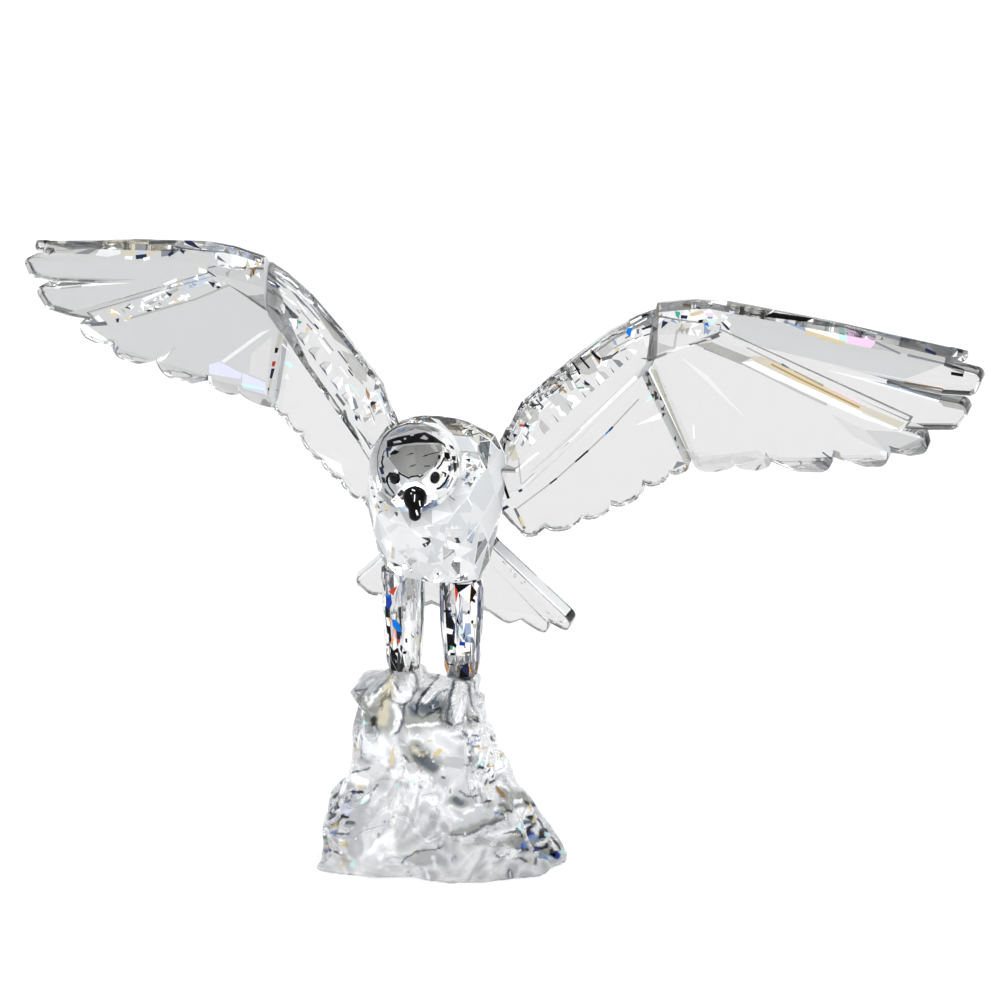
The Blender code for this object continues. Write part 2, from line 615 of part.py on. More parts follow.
def leg_room(collection):
    """The space above both ankles, which the toes' knuckles keep out of."""
    bm = bmesh.new()
    for x, ankle_z in ((LEG_SPREAD, ANKLE_LEFT_Z), (-LEG_SPREAD, ANKLE_RIGHT_Z)):
        bmesh.ops.create_cone(
            bm, cap_ends=True, segments=16, radius1=1.3 * LEG_RADIUS, radius2=1.3 * LEG_RADIUS,
            depth=LEG_RADIUS, matrix=Matrix.Translation((x, 0, ankle_z - GLUE_GAP + LEG_RADIUS / 2)),
        )
    return object_from(bm, "leg_room", collection)


def feet(collection):
    """Ankles and toes, as tapering tubes that sink into the rock."""
    pieces = []
    for x, ankle_z, claws in ((LEG_SPREAD, ANKLE_LEFT_Z, LEFT_CLAWS), (-LEG_SPREAD, ANKLE_RIGHT_Z, RIGHT_CLAWS)):
        bm = bmesh.new()
        height = ankle_z - GLUE_GAP - 0.93 * ROCK_HEIGHT
        bmesh.ops.create_cone(
            bm, cap_ends=True, segments=10, radius1=1.5 * ANKLE_RADIUS, radius2=1.02 * ANKLE_RADIUS, depth=height,
            matrix=Matrix.Translation((x, 0, ankle_z - GLUE_GAP - height / 2)),
        )
        pieces.append(object_from(bm, "ankle", collection))
        for claw in claws:
            pieces.append(toe(x, ankle_z, units(*claw) + Vector((0, 0, ROCK_HEIGHT)), collection))
    return pieces


def toe(x, ankle_z, tip, collection):
    """One toe: it leaves the ankle, arches over a knuckle and comes down on its claw."""
    root = Vector((x, 0, ankle_z - 1.35 * TOE_RADIUS))
    arch = Vector((0, 0, 0.47 * TOE_RADIUS))
    knuckle = root.lerp(tip, 0.55) + arch
    path = [(root, 1.0), (root.lerp(knuckle, 0.6) + 0.4 * arch, 1.0), (knuckle, 1.05),
            (knuckle.lerp(tip, 0.6), 0.86), (tip, 0.5)]
    curve = bpy.data.curves.new("toe", "CURVE")
    curve.dimensions = "3D"
    curve.bevel_depth = TOE_RADIUS
    curve.bevel_resolution = 1
    curve.use_fill_caps = True
    spline = curve.splines.new("POLY")
    spline.points.add(len(path) - 1)
    for point, (place, share) in zip(spline.points, path):
        point.co = (*place, 1.0)
        point.radius = share
    tube = bpy.data.objects.new("toe_tube", curve)
    collection.objects.link(tube)
    bpy.context.view_layer.update()
    bm = mesh_of(tube)
    bpy.data.objects.remove(tube)
    bpy.data.curves.remove(curve)
    return object_from(bm, "toe", collection)


def mirrored(obj, name, collection):
    """The other wing: the same mesh turned over at the middle plane."""
    bm = mesh_of(obj)
    bm.transform(Matrix.Scale(-1, 4, (1, 0, 0)))
    bmesh.ops.reverse_faces(bm, faces=bm.faces)
    return object_from(bm, name, collection)


def main():
    clear_scene()
    eagle = new_collection("crystal_eagle")
    cutters = new_collection("cutters")
    crystal = glass("crystal", CRYSTAL, 0.02, 1.0)
    black = glass("black_glass", BLACK_GLASS, 0.05, 0.0)

    right_shoulder = (Vector((-SHOULDER_FLAT[0].x, 0, SHOULDER_FLAT[0].z)), SHOULDER_FLAT[1])
    flats = [SHOULDER_FLAT, right_shoulder, NECK_FLAT]
    middle = units(0, 0, 20)
    planes = faceted_body(flats)
    body = object_from(solid_of(planes, middle), "body", eagle)
    body_room = object_from(solid_of(planes, middle, GLUE_GAP), "body_room", cutters)

    inner = inner_wing(eagle, cutters)
    outer = outer_wing(eagle, cutters)
    boolean(inner, [joint_cutter(1, cutters), body_room], "DIFFERENCE", cutters)
    boolean(outer, [joint_cutter(-1, cutters)], "DIFFERENCE", cutters)
    inner.name = "wing_left_inner"
    outer.name = "wing_left_outer"
    right_wing = [mirrored(inner, "wing_right_inner", eagle), mirrored(outer, "wing_right_outer", eagle)]

    fan = tail(eagle, cutters)
    boolean(fan, [body_room], "DIFFERENCE", cutters)

    skull = head(eagle)
    black_pieces = [
        eye("eye_left", EYE_AZIMUTH, eagle),
        eye("eye_right", -EYE_AZIMUTH, eagle),
        beak(eagle),
    ]
    for piece in black_pieces:
        piece.parent = skull

    perch = bpy.data.objects.new("leg_tops", None)
    perch.location = (0, 0, LEG_TOP_Z)
    eagle.objects.link(perch)
    for piece in [body, inner, outer, *right_wing, fan, skull]:
        piece.parent = perch

    leg("leg_left", LEG_SPREAD, ANKLE_LEFT_Z, eagle)
    leg("leg_right", -LEG_SPREAD, ANKLE_RIGHT_Z, eagle)
    rock(eagle, cutters)

    for obj in eagle.objects:
        if obj.type != "MESH":
            continue
        obj.data.materials.clear()
        obj.data.materials.append(black if obj in black_pieces else crystal)


main()
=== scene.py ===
"""A cut crystal eagle landing on its rock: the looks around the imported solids."""

import json
import math
import random

import bmesh
import bpy
import numpy as np
from mathutils import Matrix, Vector, noise

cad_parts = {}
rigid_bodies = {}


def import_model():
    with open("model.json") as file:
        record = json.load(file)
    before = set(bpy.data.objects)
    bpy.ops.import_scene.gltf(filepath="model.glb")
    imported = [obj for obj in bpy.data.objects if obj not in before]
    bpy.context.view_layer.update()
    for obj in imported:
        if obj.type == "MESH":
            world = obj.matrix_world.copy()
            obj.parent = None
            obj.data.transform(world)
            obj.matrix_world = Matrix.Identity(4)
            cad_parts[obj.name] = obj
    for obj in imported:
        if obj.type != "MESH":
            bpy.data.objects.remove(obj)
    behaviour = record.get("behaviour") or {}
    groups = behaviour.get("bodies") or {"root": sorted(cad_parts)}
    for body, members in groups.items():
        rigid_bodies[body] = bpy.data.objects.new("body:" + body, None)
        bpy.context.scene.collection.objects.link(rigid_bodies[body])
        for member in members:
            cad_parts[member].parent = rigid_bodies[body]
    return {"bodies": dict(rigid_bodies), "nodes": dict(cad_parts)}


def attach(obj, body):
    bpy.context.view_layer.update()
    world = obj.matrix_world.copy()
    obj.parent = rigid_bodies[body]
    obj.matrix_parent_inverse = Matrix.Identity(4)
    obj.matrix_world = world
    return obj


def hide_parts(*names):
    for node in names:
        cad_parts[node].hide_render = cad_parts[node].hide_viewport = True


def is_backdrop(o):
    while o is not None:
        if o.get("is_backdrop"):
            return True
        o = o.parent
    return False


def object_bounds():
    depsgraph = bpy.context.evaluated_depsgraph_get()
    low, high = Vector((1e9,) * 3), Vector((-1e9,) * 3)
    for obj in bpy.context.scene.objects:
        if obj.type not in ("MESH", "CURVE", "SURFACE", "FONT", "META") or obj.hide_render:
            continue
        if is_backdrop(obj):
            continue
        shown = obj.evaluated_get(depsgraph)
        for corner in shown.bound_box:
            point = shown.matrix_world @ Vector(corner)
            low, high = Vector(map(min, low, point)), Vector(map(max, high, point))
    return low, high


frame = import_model()
CAD_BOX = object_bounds()
NODES = frame["nodes"]
BODY = next(iter(frame["bodies"]))

MM = 0.001
WELD = 0.00001
GLUE_GAP = 0.3 * MM
LEG_TOP_Z = 93 * MM


def operator(operation, reflected=False):
    """A Python operator that adds one Math node. A reflected one swaps its two terms."""
    def combine(strand, other):
        return strand.maths(operation, *((other, strand) if reflected else (strand, other)))
    return combine


class Strand:
    """A node's output that takes part in plain arithmetic."""

    __add__, __radd__ = operator("ADD"), operator("ADD", True)
    __sub__, __rsub__ = operator("SUBTRACT"), operator("SUBTRACT", True)
    __mul__, __rmul__ = operator("MULTIPLY"), operator("MULTIPLY", True)
    __truediv__, __rtruediv__ = operator("DIVIDE"), operator("DIVIDE", True)
    __gt__ = operator("GREATER_THAN")

    def __init__(self, bench, socket):
        self.bench = bench
        self.socket = socket

    def maths(self, operation, *terms):
        return self.bench.add("Math", {"operation": operation}, dict(enumerate(terms)))


class Bench:
    """A material's or the world's node tree."""

    def __init__(self, tree):
        self.tree = tree

    def add(self, kind, settings=None, values=None, output=0):
        """Adds one node: its settings first, then the values or links of its sockets."""
        node = self.tree.nodes.new("ShaderNode" + kind)
        for name, value in (settings or {}).items():
            if name == "stops":
                self.stops(node.color_ramp, value)
            elif name == "interpolation":
                node.color_ramp.interpolation = value
            else:
                setattr(node, name, value)
        for name, value in (values or {}).items():
            self.feed(node.inputs[name], value)
        return Strand(self, node.outputs[output]) if node.outputs else None

    def feed(self, socket, value):
        if isinstance(value, Strand):
            self.tree.links.new(value.socket, socket)
        elif socket.type == "RGBA" and len(value) == 3:
            socket.default_value = (*value, 1.0)
        else:
            socket.default_value = value

    def stops(self, ramp, stops):
        for index, (place, colour) in enumerate(stops):
            stop = ramp.elements[index] if index < 2 else ramp.elements.new(place)
            stop.position = place
            stop.color = (*colour, 1.0)

    def dot(self, vector, direction):
        return self.add("VectorMath", {"operation": "DOT_PRODUCT"}, {0: vector, 1: direction}, output=1)

    def ease(self, value, low, high):
        """0 below low, 1 above high, and smooth between."""
        ends = {"Value": value, "From Min": low, "From Max": high}
        return self.add("MapRange", {"interpolation_type": "SMOOTHSTEP"}, ends)


def bearing(azimuth, elevation):
    """A unit vector: azimuth 0 looks along -Y and grows towards +X."""
    a, e = math.radians(azimuth), math.radians(elevation)
    return Vector((math.sin(a) * math.cos(e), -math.cos(a) * math.cos(e), math.sin(e)))


# The studio

CAMERA_PLACE = (0.3009, -0.5714, 0.3375)
CAMERA_TURN = (71, 0, 26)
CAMERA_LENS = 84.6

# The studio's black flags and soft boxes: (azimuth, elevation), the cosine of the edge, and a box's strength
FLAGS = [((26, 68), 0.92), ((122, 50), 0.975), ((-80, 60), 0.98)]
FLAG_DARK = 0.99
FLAG_SOFT = 0.02
SOFT_BOXES = [((-28, 66), 0.965, 5.0), ((74, 52), 0.975, 4.0), ((170, 40), 0.975, 3.0),
              ((8, 52), 0.995, 12.0), ((48, 46), 0.995, 12.0)]
BOX_SOFT = 0.002

# The tent's panels and the dark seams between them, which start a little above the floor
PANELS = 14
LEVELS = 2.9
SEAM_SLANT = 0.3
SEAM_DARK = 0.8
UPRIGHT_SEAM = (0.055, 0.075)
LEVEL_SEAM = (0.05, 0.07)
SEAM_START = (0.23, 0.25)
# How far a flag's edge shifts between red, green and blue
FRINGE = 0.006

FLOOR_HALF = 8.0
FLOOR_DROP = 0.2 * MM
FLOOR_GLOW = 0.56
FLOOR_GREY = 0.42


def place_camera():
    camera = bpy.data.cameras.new("camera")
    camera.lens = CAMERA_LENS
    camera.sensor_width = 36.0
    camera.clip_start = 0.02
    camera.clip_end = 60.0
    stand = bpy.data.objects.new("camera", camera)
    stand.location = CAMERA_PLACE
    stand.rotation_euler = [math.radians(angle) for angle in CAMERA_TURN]
    bpy.context.scene.collection.objects.link(stand)
    bpy.context.scene.camera = stand


def light_studio():
    """A tent of white panels with dark seams, black flags and soft boxes. Dark edges split into colours."""
    world = bpy.data.worlds.new("studio")
    world.use_nodes = True
    world.node_tree.nodes.clear()
    bench = Bench(world.node_tree)
    gaze = bench.add("TexCoord")
    parts = bench.add("SeparateXYZ", {}, {0: gaze})
    across, along, rise = (Strand(bench, socket) for socket in parts.socket.node.outputs)
    turn = across.maths("ARCTAN2", across, along) / (2 * math.pi) * PANELS
    panel = across.maths("PINGPONG", turn + SEAM_SLANT * rise, 0.5)
    level = across.maths("PINGPONG", rise * LEVELS, 0.5)
    seam = across.maths("MAXIMUM", 1 - bench.ease(panel, *UPRIGHT_SEAM), 1 - bench.ease(level, *LEVEL_SEAM))
    seams = 1 - SEAM_DARK * seam * bench.ease(rise, *SEAM_START)
    channels = []
    for shift in (-FRINGE, 0.0, FRINGE):
        light = seams
        for place, edge in FLAGS:
            facing = bench.dot(gaze, bearing(*place))
            cover = bench.ease(facing, edge + shift - FLAG_SOFT, edge + shift + FLAG_SOFT)
            light = light * (1 - FLAG_DARK * cover)
        for place, edge, power in SOFT_BOXES:
            facing = bench.dot(gaze, bearing(*place))
            light = light + power * bench.ease(facing, edge - BOX_SOFT, edge + BOX_SOFT)
        channels.append(light)
    colour = bench.add("CombineColor", {}, dict(enumerate(channels)))
    backdrop = bench.add("Background", {}, {"Color": colour, "Strength": 1.0})
    bench.add("OutputWorld", {}, {"Surface": backdrop})
    bpy.context.scene.world = world


def new_material(name):
    material = bpy.data.materials.new(name)
    material.use_nodes = True
    return material, Bench(material.node_tree), material.node_tree.nodes["Principled BSDF"]


def set_shader(bench, shader, **values):
    for name, value in values.items():
        bench.feed(shader.inputs[name.replace("_", " ")], value)


def lay_floor():
    bm = bmesh.new()
    bmesh.ops.create_grid(bm, x_segments=2, y_segments=2, size=FLOOR_HALF)
    mesh = bpy.data.meshes.new("floor")
    bm.to_mesh(mesh)
    bm.free()
    floor = bpy.data.objects.new("floor", mesh)
    floor.location.z = -FLOOR_DROP
    bpy.context.scene.collection.objects.link(floor)
    material, bench, shader = new_material("floor")
    set_shader(bench, shader, Base_Color=(FLOOR_GREY,) * 3, Roughness=0.9, Specular_IOR_Level=0.0,
               Emission_Color=(1, 1, 1), Emission_Strength=FLOOR_GLOW)
    mesh.materials.append(material)
    floor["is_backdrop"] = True


# Materials

# Tints of the ground facets, as the colours they show against white: mostly painted light and shade for the
# crystal's reflections, highlights and dispersion fire; black is also the beak's own colour. The first ones
# are opaque flashes
TINTS_AND_PAINTED_LIGHT = {
    "black": (4, 4, 6), "ink": (34, 42, 68), "navy": (24, 60, 150), "blue": (0, 112, 206),
    "red": (190, 60, 34), "amber": (226, 156, 84), "teal": (70, 150, 130), "stone": (190, 190, 181),
    "milk": (228, 229, 230), "chalk": (214, 215, 216), "dove": (201, 203, 205), "glint": (254, 254, 254),
    "smoke": (92, 96, 104), "slate": (124, 128, 134), "steel": (146, 162, 192), "ash": (168, 168, 163),
    "grey": (186, 186, 183), "moss": (182, 180, 168), "table": (194, 194, 190), "khaki": (203, 197, 180),
    "haze": (198, 198, 198), "fog": (210, 209, 209), "plate": (219, 218, 218), "pale": (230, 230, 230),
    "clear": (250, 250, 250), "white": (255, 255, 255), "gold": (214, 197, 158), "brown": (158, 128, 88),
    "aqua": (204, 240, 236), "pink": (242, 206, 238), "lilac": (220, 220, 241), "mist": (190, 198, 210),
}
FLASHES = 12
TINT_AND_PAINTED_LIGHT_NAMES = list(TINTS_AND_PAINTED_LIGHT)

# How often each tint comes up on the small facets: painted fire, reflections, highlights and shade
LEG_FIRE = {"black": 10, "ink": 3, "navy": 1, "blue": 1, "slate": 6, "steel": 8, "amber": 1, "red": 1,
            "teal": 1, "lilac": 3, "plate": 8, "clear": 20, "white": 20, "glint": 12}
CALM_FIRE = {"haze": 4, "fog": 8, "plate": 20, "pale": 30, "clear": 20, "white": 10, "glint": 6}
WING_FIRE = {"smoke": 4, "slate": 6, "ash": 14, "grey": 14, "steel": 5, "aqua": 3, "gold": 4, "plate": 20,
             "clear": 10, "white": 22}
LINE_FIRE = {"smoke": 5, "slate": 8, "ash": 12, "grey": 12, "steel": 3, "gold": 3, "aqua": 2, "plate": 25,
             "clear": 16, "white": 25}
RIM_FIRE = {"black": 5, "smoke": 14, "slate": 18, "ash": 20, "steel": 3, "clear": 20, "white": 20}
STREAK_FIRE = {"glint": 20, "white": 20, "black": 8, "smoke": 12, "slate": 14, "ash": 14, "steel": 4,
               "gold": 3, "aqua": 2}
SPARK_FIRE = {"glint": 26, "white": 20, "black": 7, "ink": 5, "blue": 1, "steel": 4, "slate": 8, "gold": 6,
              "aqua": 4, "pink": 2, "khaki": 8, "ash": 10, "brown": 3}
CHEST_FIRE = {"milk": 24, "chalk": 36, "dove": 16, "pale": 12, "clear": 12}
CROWN_FIRE = {"khaki": 20, "moss": 14, "haze": 30, "fog": 20, "clear": 16}
RAINBOW = {"gold": 5, "pink": 3, "aqua": 4, "glint": 8, "khaki": 6, "lilac": 4, "steel": 3, "ash": 5,
           "black": 1}
BAND_FIRE = {"white": 16, "mist": 18, "fog": 14, "ash": 12, "slate": 7, "steel": 3, "glint": 12,
             "gold": 3, "ink": 2}
BELLY_FIRE = {"milk": 30, "chalk": 30, "glint": 5}
BODY_FIRE = {"plate": 8, "pale": 32, "clear": 50, "white": 20}
EDGE_FIRE = {"grey": 8, "plate": 24, "clear": 30, "white": 30, "gold": 2, "aqua": 2, "lilac": 4}


# What the screen makes of a colour, and what the clear facet behind one with painted light lets through
GAMMA = 2.2
FACET_BEHIND = 0.95
CRYSTAL_IOR = 1.56
ROCK_IOR = 1.50
ROCK_ROUGH = 0.015
UNDERSIDE_ROUGH = 0.45
UNDERSIDE = (0.6 * MM, 1.2 * MM)


def tint(name):
    """A tint's place on the ramp."""
    return (TINT_AND_PAINTED_LIGHT_NAMES.index(name) + 0.5) / len(TINT_AND_PAINTED_LIGHT_NAMES)


def glass_tone(colours):
    """The base colours that show as the given screen colours through a painted facet and a clear one."""
    return np.minimum(1.0, (np.array(colours) / 255) ** (2 * GAMMA) / FACET_BEHIND)


class Fire:
    """Draws tints of painted light and shade at given shares, and places, the same way each run."""

    def __init__(self, seed):
        self.random = random.Random(seed)

    def pick(self, shares):
        return self.random.choices(list(shares), list(shares.values()))[0]

    def draw(self, shares):
        return tint(self.pick(shares))

    def spot(self, patch):
        """A place within a four-sided patch."""
        a, b, c, d = (Vector(corner) for corner in patch)
        u, v = self.random.random(), self.random.random()
        return a.lerp(b, u).lerp(d.lerp(c, u), v)


def tint_ramp(bench, share, tones):
    stops = [(index / len(TINTS_AND_PAINTED_LIGHT), tone) for index, tone in enumerate(tones)]
    return bench.add("ValToRGB", {"interpolation": "CONSTANT", "stops": stops}, {0: share})


def crystal():
    """Clear cut crystal whose facets carry painted fire, reflections, glints and shade; some flash opaque."""
    material, bench, shader = new_material("crystal")
    # The cut attribute holds each facet's tint, mostly painted light and shade
    share = bench.add("Attribute", {"attribute_name": "cut"}, output=2)
    colours = np.array(list(TINTS_AND_PAINTED_LIGHT.values()))
    ramp = tint_ramp(bench, share, glass_tone(colours))
    set_shader(bench, shader, Base_Color=ramp, Roughness=0.0, IOR=CRYSTAL_IOR, Transmission_Weight=1.0)
    # Opaque flashes: painted highlights, dark reflections and pale mosaic; black is also the beak's own
    # colour
    ramp = tint_ramp(bench, share, (colours[:FLASHES] / 255) ** GAMMA)
    flash = bench.add("BsdfPrincipled", {}, {"Base Color": ramp, "Roughness": 0.3, "Specular IOR Level": 0.1})
    surface = bench.add("MixShader", {}, {0: share > FLASHES / len(TINTS_AND_PAINTED_LIGHT), 1: flash,
                                          2: Strand(bench, shader.outputs[0])})
    bench.feed(material.node_tree.nodes["Material Output"].inputs["Surface"], surface)
    return material


def rock_crystal():
    """Clear cast crystal with painted shade and a ground underside."""
    material, bench, shader = new_material("rock_crystal")
    place = bench.add("TexCoord", output=3)
    height = Strand(bench, bench.add("SeparateXYZ", {}, {0: place}).socket.node.outputs[2])
    shade = bench.add("Attribute", {"attribute_name": "shade"})
    rough = ROCK_ROUGH + UNDERSIDE_ROUGH * (1 - bench.ease(height, *UNDERSIDE))
    set_shader(bench, shader, Base_Color=shade, Roughness=rough, IOR=ROCK_IOR, Transmission_Weight=1.0)
    return material


def black_glass():
    material, bench, shader = new_material("black_glass")
    set_shader(bench, shader, Base_Color=(0.003, 0.003, 0.004), Roughness=0.03, Specular_IOR_Level=0.18)
    return material


# Shaping

# Facets that differ by less than these angles are one flat, and edges sharper than SHARP are ground. On a
# smooth piece, edges sharper than CRISP stay crisp
CAD_FLAT = math.radians(0.6)
CUT_FLAT = math.radians(0.5)
SHARP = math.radians(5)
CRISP = math.radians(40)


def facets_of(name):
    """The CAD node's mesh with its flat facets whole again."""
    bm = bmesh.new()
    bm.from_mesh(NODES[name].data)
    bmesh.ops.remove_doubles(bm, verts=bm.verts, dist=WELD)
    bmesh.ops.dissolve_limit(bm, angle_limit=CAD_FLAT, verts=bm.verts, edges=bm.edges)
    bmesh.ops.recalc_face_normals(bm, faces=bm.faces)
    return bm


def grind(bm, width):
    """Grinds a narrow facet along every sharp edge."""
    sharp = [edge for edge in bm.edges if edge.calc_face_angle(0.0) > SHARP]
    bmesh.ops.bevel(bm, geom=sharp, offset=width, offset_type="OFFSET", segments=1, profile=0.5,
                    affect="EDGES", clamp_overlap=True)


def piece_from(bm, name, node, material, choose):
    """Links a finished mesh that stands for a CAD node. `choose` gives each facet its tint, mostly painted
    light and shade.
    """
    bmesh.ops.recalc_face_normals(bm, faces=bm.faces)
    layer = bm.faces.layers.float.new("cut")
    for face in bm.faces:
        face[layer] = choose(face)
    mesh = bpy.data.meshes.new(name)
    bm.to_mesh(mesh)
    bm.free()
    mesh.materials.append(material)
    piece = bpy.data.objects.new(name, mesh)
    bpy.context.scene.collection.objects.link(piece)
    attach(piece, BODY)
    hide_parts(node)
    return piece


class Plane:
    """A plate's own plane: `across` and `up` lie in it and `front` faces the viewer. Its places are in mm."""

    def __init__(self, sweep, tilt, origin):
        s, t = math.radians(sweep), math.radians(tilt)
        self.front = Vector((math.sin(s) * math.cos(t), -math.cos(s) * math.cos(t), -math.sin(t)))
        self.across = Vector((math.cos(s), math.sin(s), 0.0))
        self.up = self.front.cross(self.across)
        if self.up.z < 0:
            self.up.negate()
        self.origin = Vector(origin) * MM + Vector((0, 0, LEG_TOP_Z))

    def matrix(self):
        turn = Matrix((self.across, self.up, self.front)).transposed().to_4x4()
        return Matrix.Translation(self.origin) @ turn


def rounded(outline, steps):
    """Turns each corner that has a radius into an arc. A negative radius bows the edge after the corner."""
    points = []
    count = len(outline)
    for index, (x, y, radius) in enumerate(outline):
        corner = Vector((x, y))
        after = Vector(outline[(index + 1) % count][:2]) - corner
        if radius <= 0:
            for step in range(steps if radius else 1):
                share = step / steps
                bow = Vector((after.y, -after.x)) * -radius * (4 * share * (1 - share)) ** 0.7
                points.append(corner + after * share + bow)
            continue
        before = Vector(outline[index - 1][:2]) - corner
        half = before.angle(after) / 2
        back = min(radius / math.tan(half), 0.48 * before.length, 0.48 * after.length)
        radius = back * math.tan(half)
        middle = corner + (before.normalized() + after.normalized()).normalized() * radius / math.sin(half)
        start = corner + before.normalized() * back - middle
        end = corner + after.normalized() * back - middle
        turn = start.angle_signed(end)
        for step in range(steps + 1):
            points.append(middle + Matrix.Rotation(-turn * step / steps, 2) @ start)
    return points


def plate(outline, thickness, roll, steps=10):
    """A flat plate with a rolled rim: its front at 0 and its back at minus its thickness."""
    curve = bpy.data.curves.new("plate", "CURVE")
    curve.dimensions = "2D"
    curve.fill_mode = "BOTH"
    curve.extrude = (thickness / 2 - roll) * MM
    curve.bevel_depth = roll * MM
    curve.bevel_resolution = 1 if roll else 0
    curve.offset = -roll * MM
    points = rounded(outline, steps)
    spline = curve.splines.new("POLY")
    spline.points.add(len(points) - 1)
    for point, place in zip(spline.points, points):
        point.co = (place.x * MM, place.y * MM, 0.0, 1.0)
    spline.use_cyclic_u = True
    holder = bpy.data.objects.new("plate", curve)
    bpy.context.scene.collection.objects.link(holder)
    bm = baked(holder)
    bmesh.ops.translate(bm, verts=bm.verts, vec=(0, 0, -thickness / 2 * MM))
    bmesh.ops.recalc_face_normals(bm, faces=bm.faces)
    return bm


def baked(holder, weld=WELD):
    """The object's finished mesh, with places nearer than the weld joined. The object itself goes."""
    bpy.context.view_layer.update()
    mesh = bpy.data.meshes.new_from_object(holder.evaluated_get(bpy.context.evaluated_depsgraph_get()))
    bpy.data.objects.remove(holder)
    bm = bmesh.new()
    bm.from_mesh(mesh)
    bpy.data.meshes.remove(mesh)
    if weld:
        bmesh.ops.remove_doubles(bm, verts=bm.verts, dist=weld)
    return bm


def cut(bm, point, normal):
    """Grinds off everything beyond the plane and closes the flat it leaves."""
    everything = bm.verts[:] + bm.edges[:] + bm.faces[:]
    result = bmesh.ops.bisect_plane(bm, geom=everything, dist=1e-7, plane_co=point, plane_no=normal,
                                    clear_outer=True)
    rim = [item for item in result["geom_cut"] if isinstance(item, bmesh.types.BMEdge)]
    if rim:
        bmesh.ops.holes_fill(bm, edges=rim, sides=0)


def slope(bm, start, end, inset, drop, lift=0.0, behind=None):
    """Grinds a long bevel along an edge of an outline that runs anticlockwise."""
    along = (Vector(end) - Vector(start)).normalized()
    outward = Vector((along.y, -along.x, 0.0))
    normal = (outward * drop + Vector((0, 0, 1)) * inset).normalized()
    point = Vector((*start, 0)) * MM - outward * (inset - lift) * MM
    if behind is not None:
        normal.z = -normal.z
        point.z = -behind * MM
    cut(bm, point, normal)


def chain(points):
    """Each neighbouring pair of a run of points."""
    return list(zip(points, points[1:]))


def solid(bm, name="solid"):
    bmesh.ops.recalc_face_normals(bm, faces=bm.faces)
    mesh = bpy.data.meshes.new(name)
    bm.to_mesh(mesh)
    bm.free()
    holder = bpy.data.objects.new(name, mesh)
    bpy.context.scene.collection.objects.link(holder)
    return holder


def joined(first, others, operation):
    """The first mesh joined with, or cut by, the others."""
    holder = solid(first)
    tools = [solid(other) for other in others]
    for tool in tools:
        modifier = holder.modifiers.new(operation, "BOOLEAN")
        modifier.operation = operation
        modifier.solver = "EXACT"
        modifier.object = tool
    bm = baked(holder)
    for tool in tools:
        bpy.data.objects.remove(tool)
    return bm


# Inner wing: the secondaries' plate and the thick arm block over it, as in the solids
INNER_PLANE = Plane(24, 8.5, (24, 10, 12))
INNER_THICK = 4.5
INNER_OUTLINE = [
    (0.3, -0.1, -0.22), (5.6, 0.5, 0), (7.1, 2.0, -0.22), (17.7, 5.4, -0.2), (26.4, 9.6, -0.22),
    (35.8, 16.4, -0.22), (42.9, 20.2, -0.2), (48.6, 22.6, 0), (56.0, 22.6, 0), (42.0, 55.0, 0),
    (34.6, 56.0, 0), (-1.5, 21.0, 0), (-9.0, 21.0, 0), (-9.0, 10.0, 0),
]
ARM_PLANE = Plane(5, -2.5, (24, 7.5, 26.6))
ARM_THICK = 8.5
ARM_LEADING = [(46.0, 58.4), (39.6, 56.4), (33.2, 53.6), (24.8, 48.4), (13.6, 39.0), (6.5, 32.2),
               (-0.8, 25.0), (-4.4, 17.3)]
ARM_LOWER = [(0.3, 0.0), (34.4, 35.7)]
ARM_OUTLINE = [(0.3, 0.0, 0), (34.4, 35.7, 0), (46.0, 46.0, 0)] + [(x, y, 0) for x, y in ARM_LEADING]
ARM_OUTLINE += [(-14.0, 14.0, 0), (-14.0, -4.0, 0)]
NOTCH_ROW = [(2.6, 17.6), (31.0, 45.6)]
NOTCHES = 8

# Outer wing: the upper primaries in front of the lower ones, with the wrist plate on top
UPPER_PLANE = Plane(2, 8, (68.5, 12.5, 85))
UPPER_THICK = 6.2
UPPER_LEADING = [(81.0, -4.6), (58.5, -2.6), (28.1, 1.7), (14.0, 1.9), (5.4, 1.3), (-4.9, -0.7),
                 (-14.0, -3.0)]
UPPER_OUTLINE = [
    (-14.0, -22.0, 0), (-6.5, -17.4, 0), (7.9, -12.6, 0), (62.6, -30.6, 0), (65.3, -29.1, 0),
    (79.6, -27.2, 3.4), (84.2, -19.6, 2.6), (74.9, -18.7, 0), (60.1, -16.0, 0), (74.9, -17.4, 0),
    (84.2, -16.8, 2.6), (86.4, -10.6, 2.2), (75.7, -9.0, 0), (75.7, -8.2, 0), (81.4, -7.6, 1.3),
    (81.6, -4.0, 1.3), (76.0, -4.6, 0), (58.5, -2.6, 0), (28.1, 1.7, 0), (14.0, 1.9, 0),
    (5.4, 1.3, 0), (-4.9, -0.7, 0), (-14.0, -3.0, 0),
]
LOWER_PLANE = Plane(0, 16, (68.5, 28.5, 34))
LOWER_THICK = 4.8
LOWER_OUTLINE = [
    (-6.0, -3.0, 0), (0.4, -0.9, -0.15), (14.0, 2.2, -0.22), (25.4, 5.3, 0), (32.0, 2.9, 6.0),
    (41.8, 3.9, 4.6), (43.6, 10.0, 0), (51.0, 7.6, 6.0), (58.8, 8.9, 4.2), (59.6, 14.0, 0),
    (66.0, 13.6, 3.0), (70.8, 15.3, 2.6), (69.8, 21.0, 2.0), (64.1, 21.9, 0), (66.5, 25.5, 0),
    (12.0, 46.0, 0), (-15.0, 46.0, 0), (-16.0, 30.0, 0),
]
WRIST_PLANE = Plane(3, 3, (60, 12.3, 67))
WRIST_THICK = 5.0
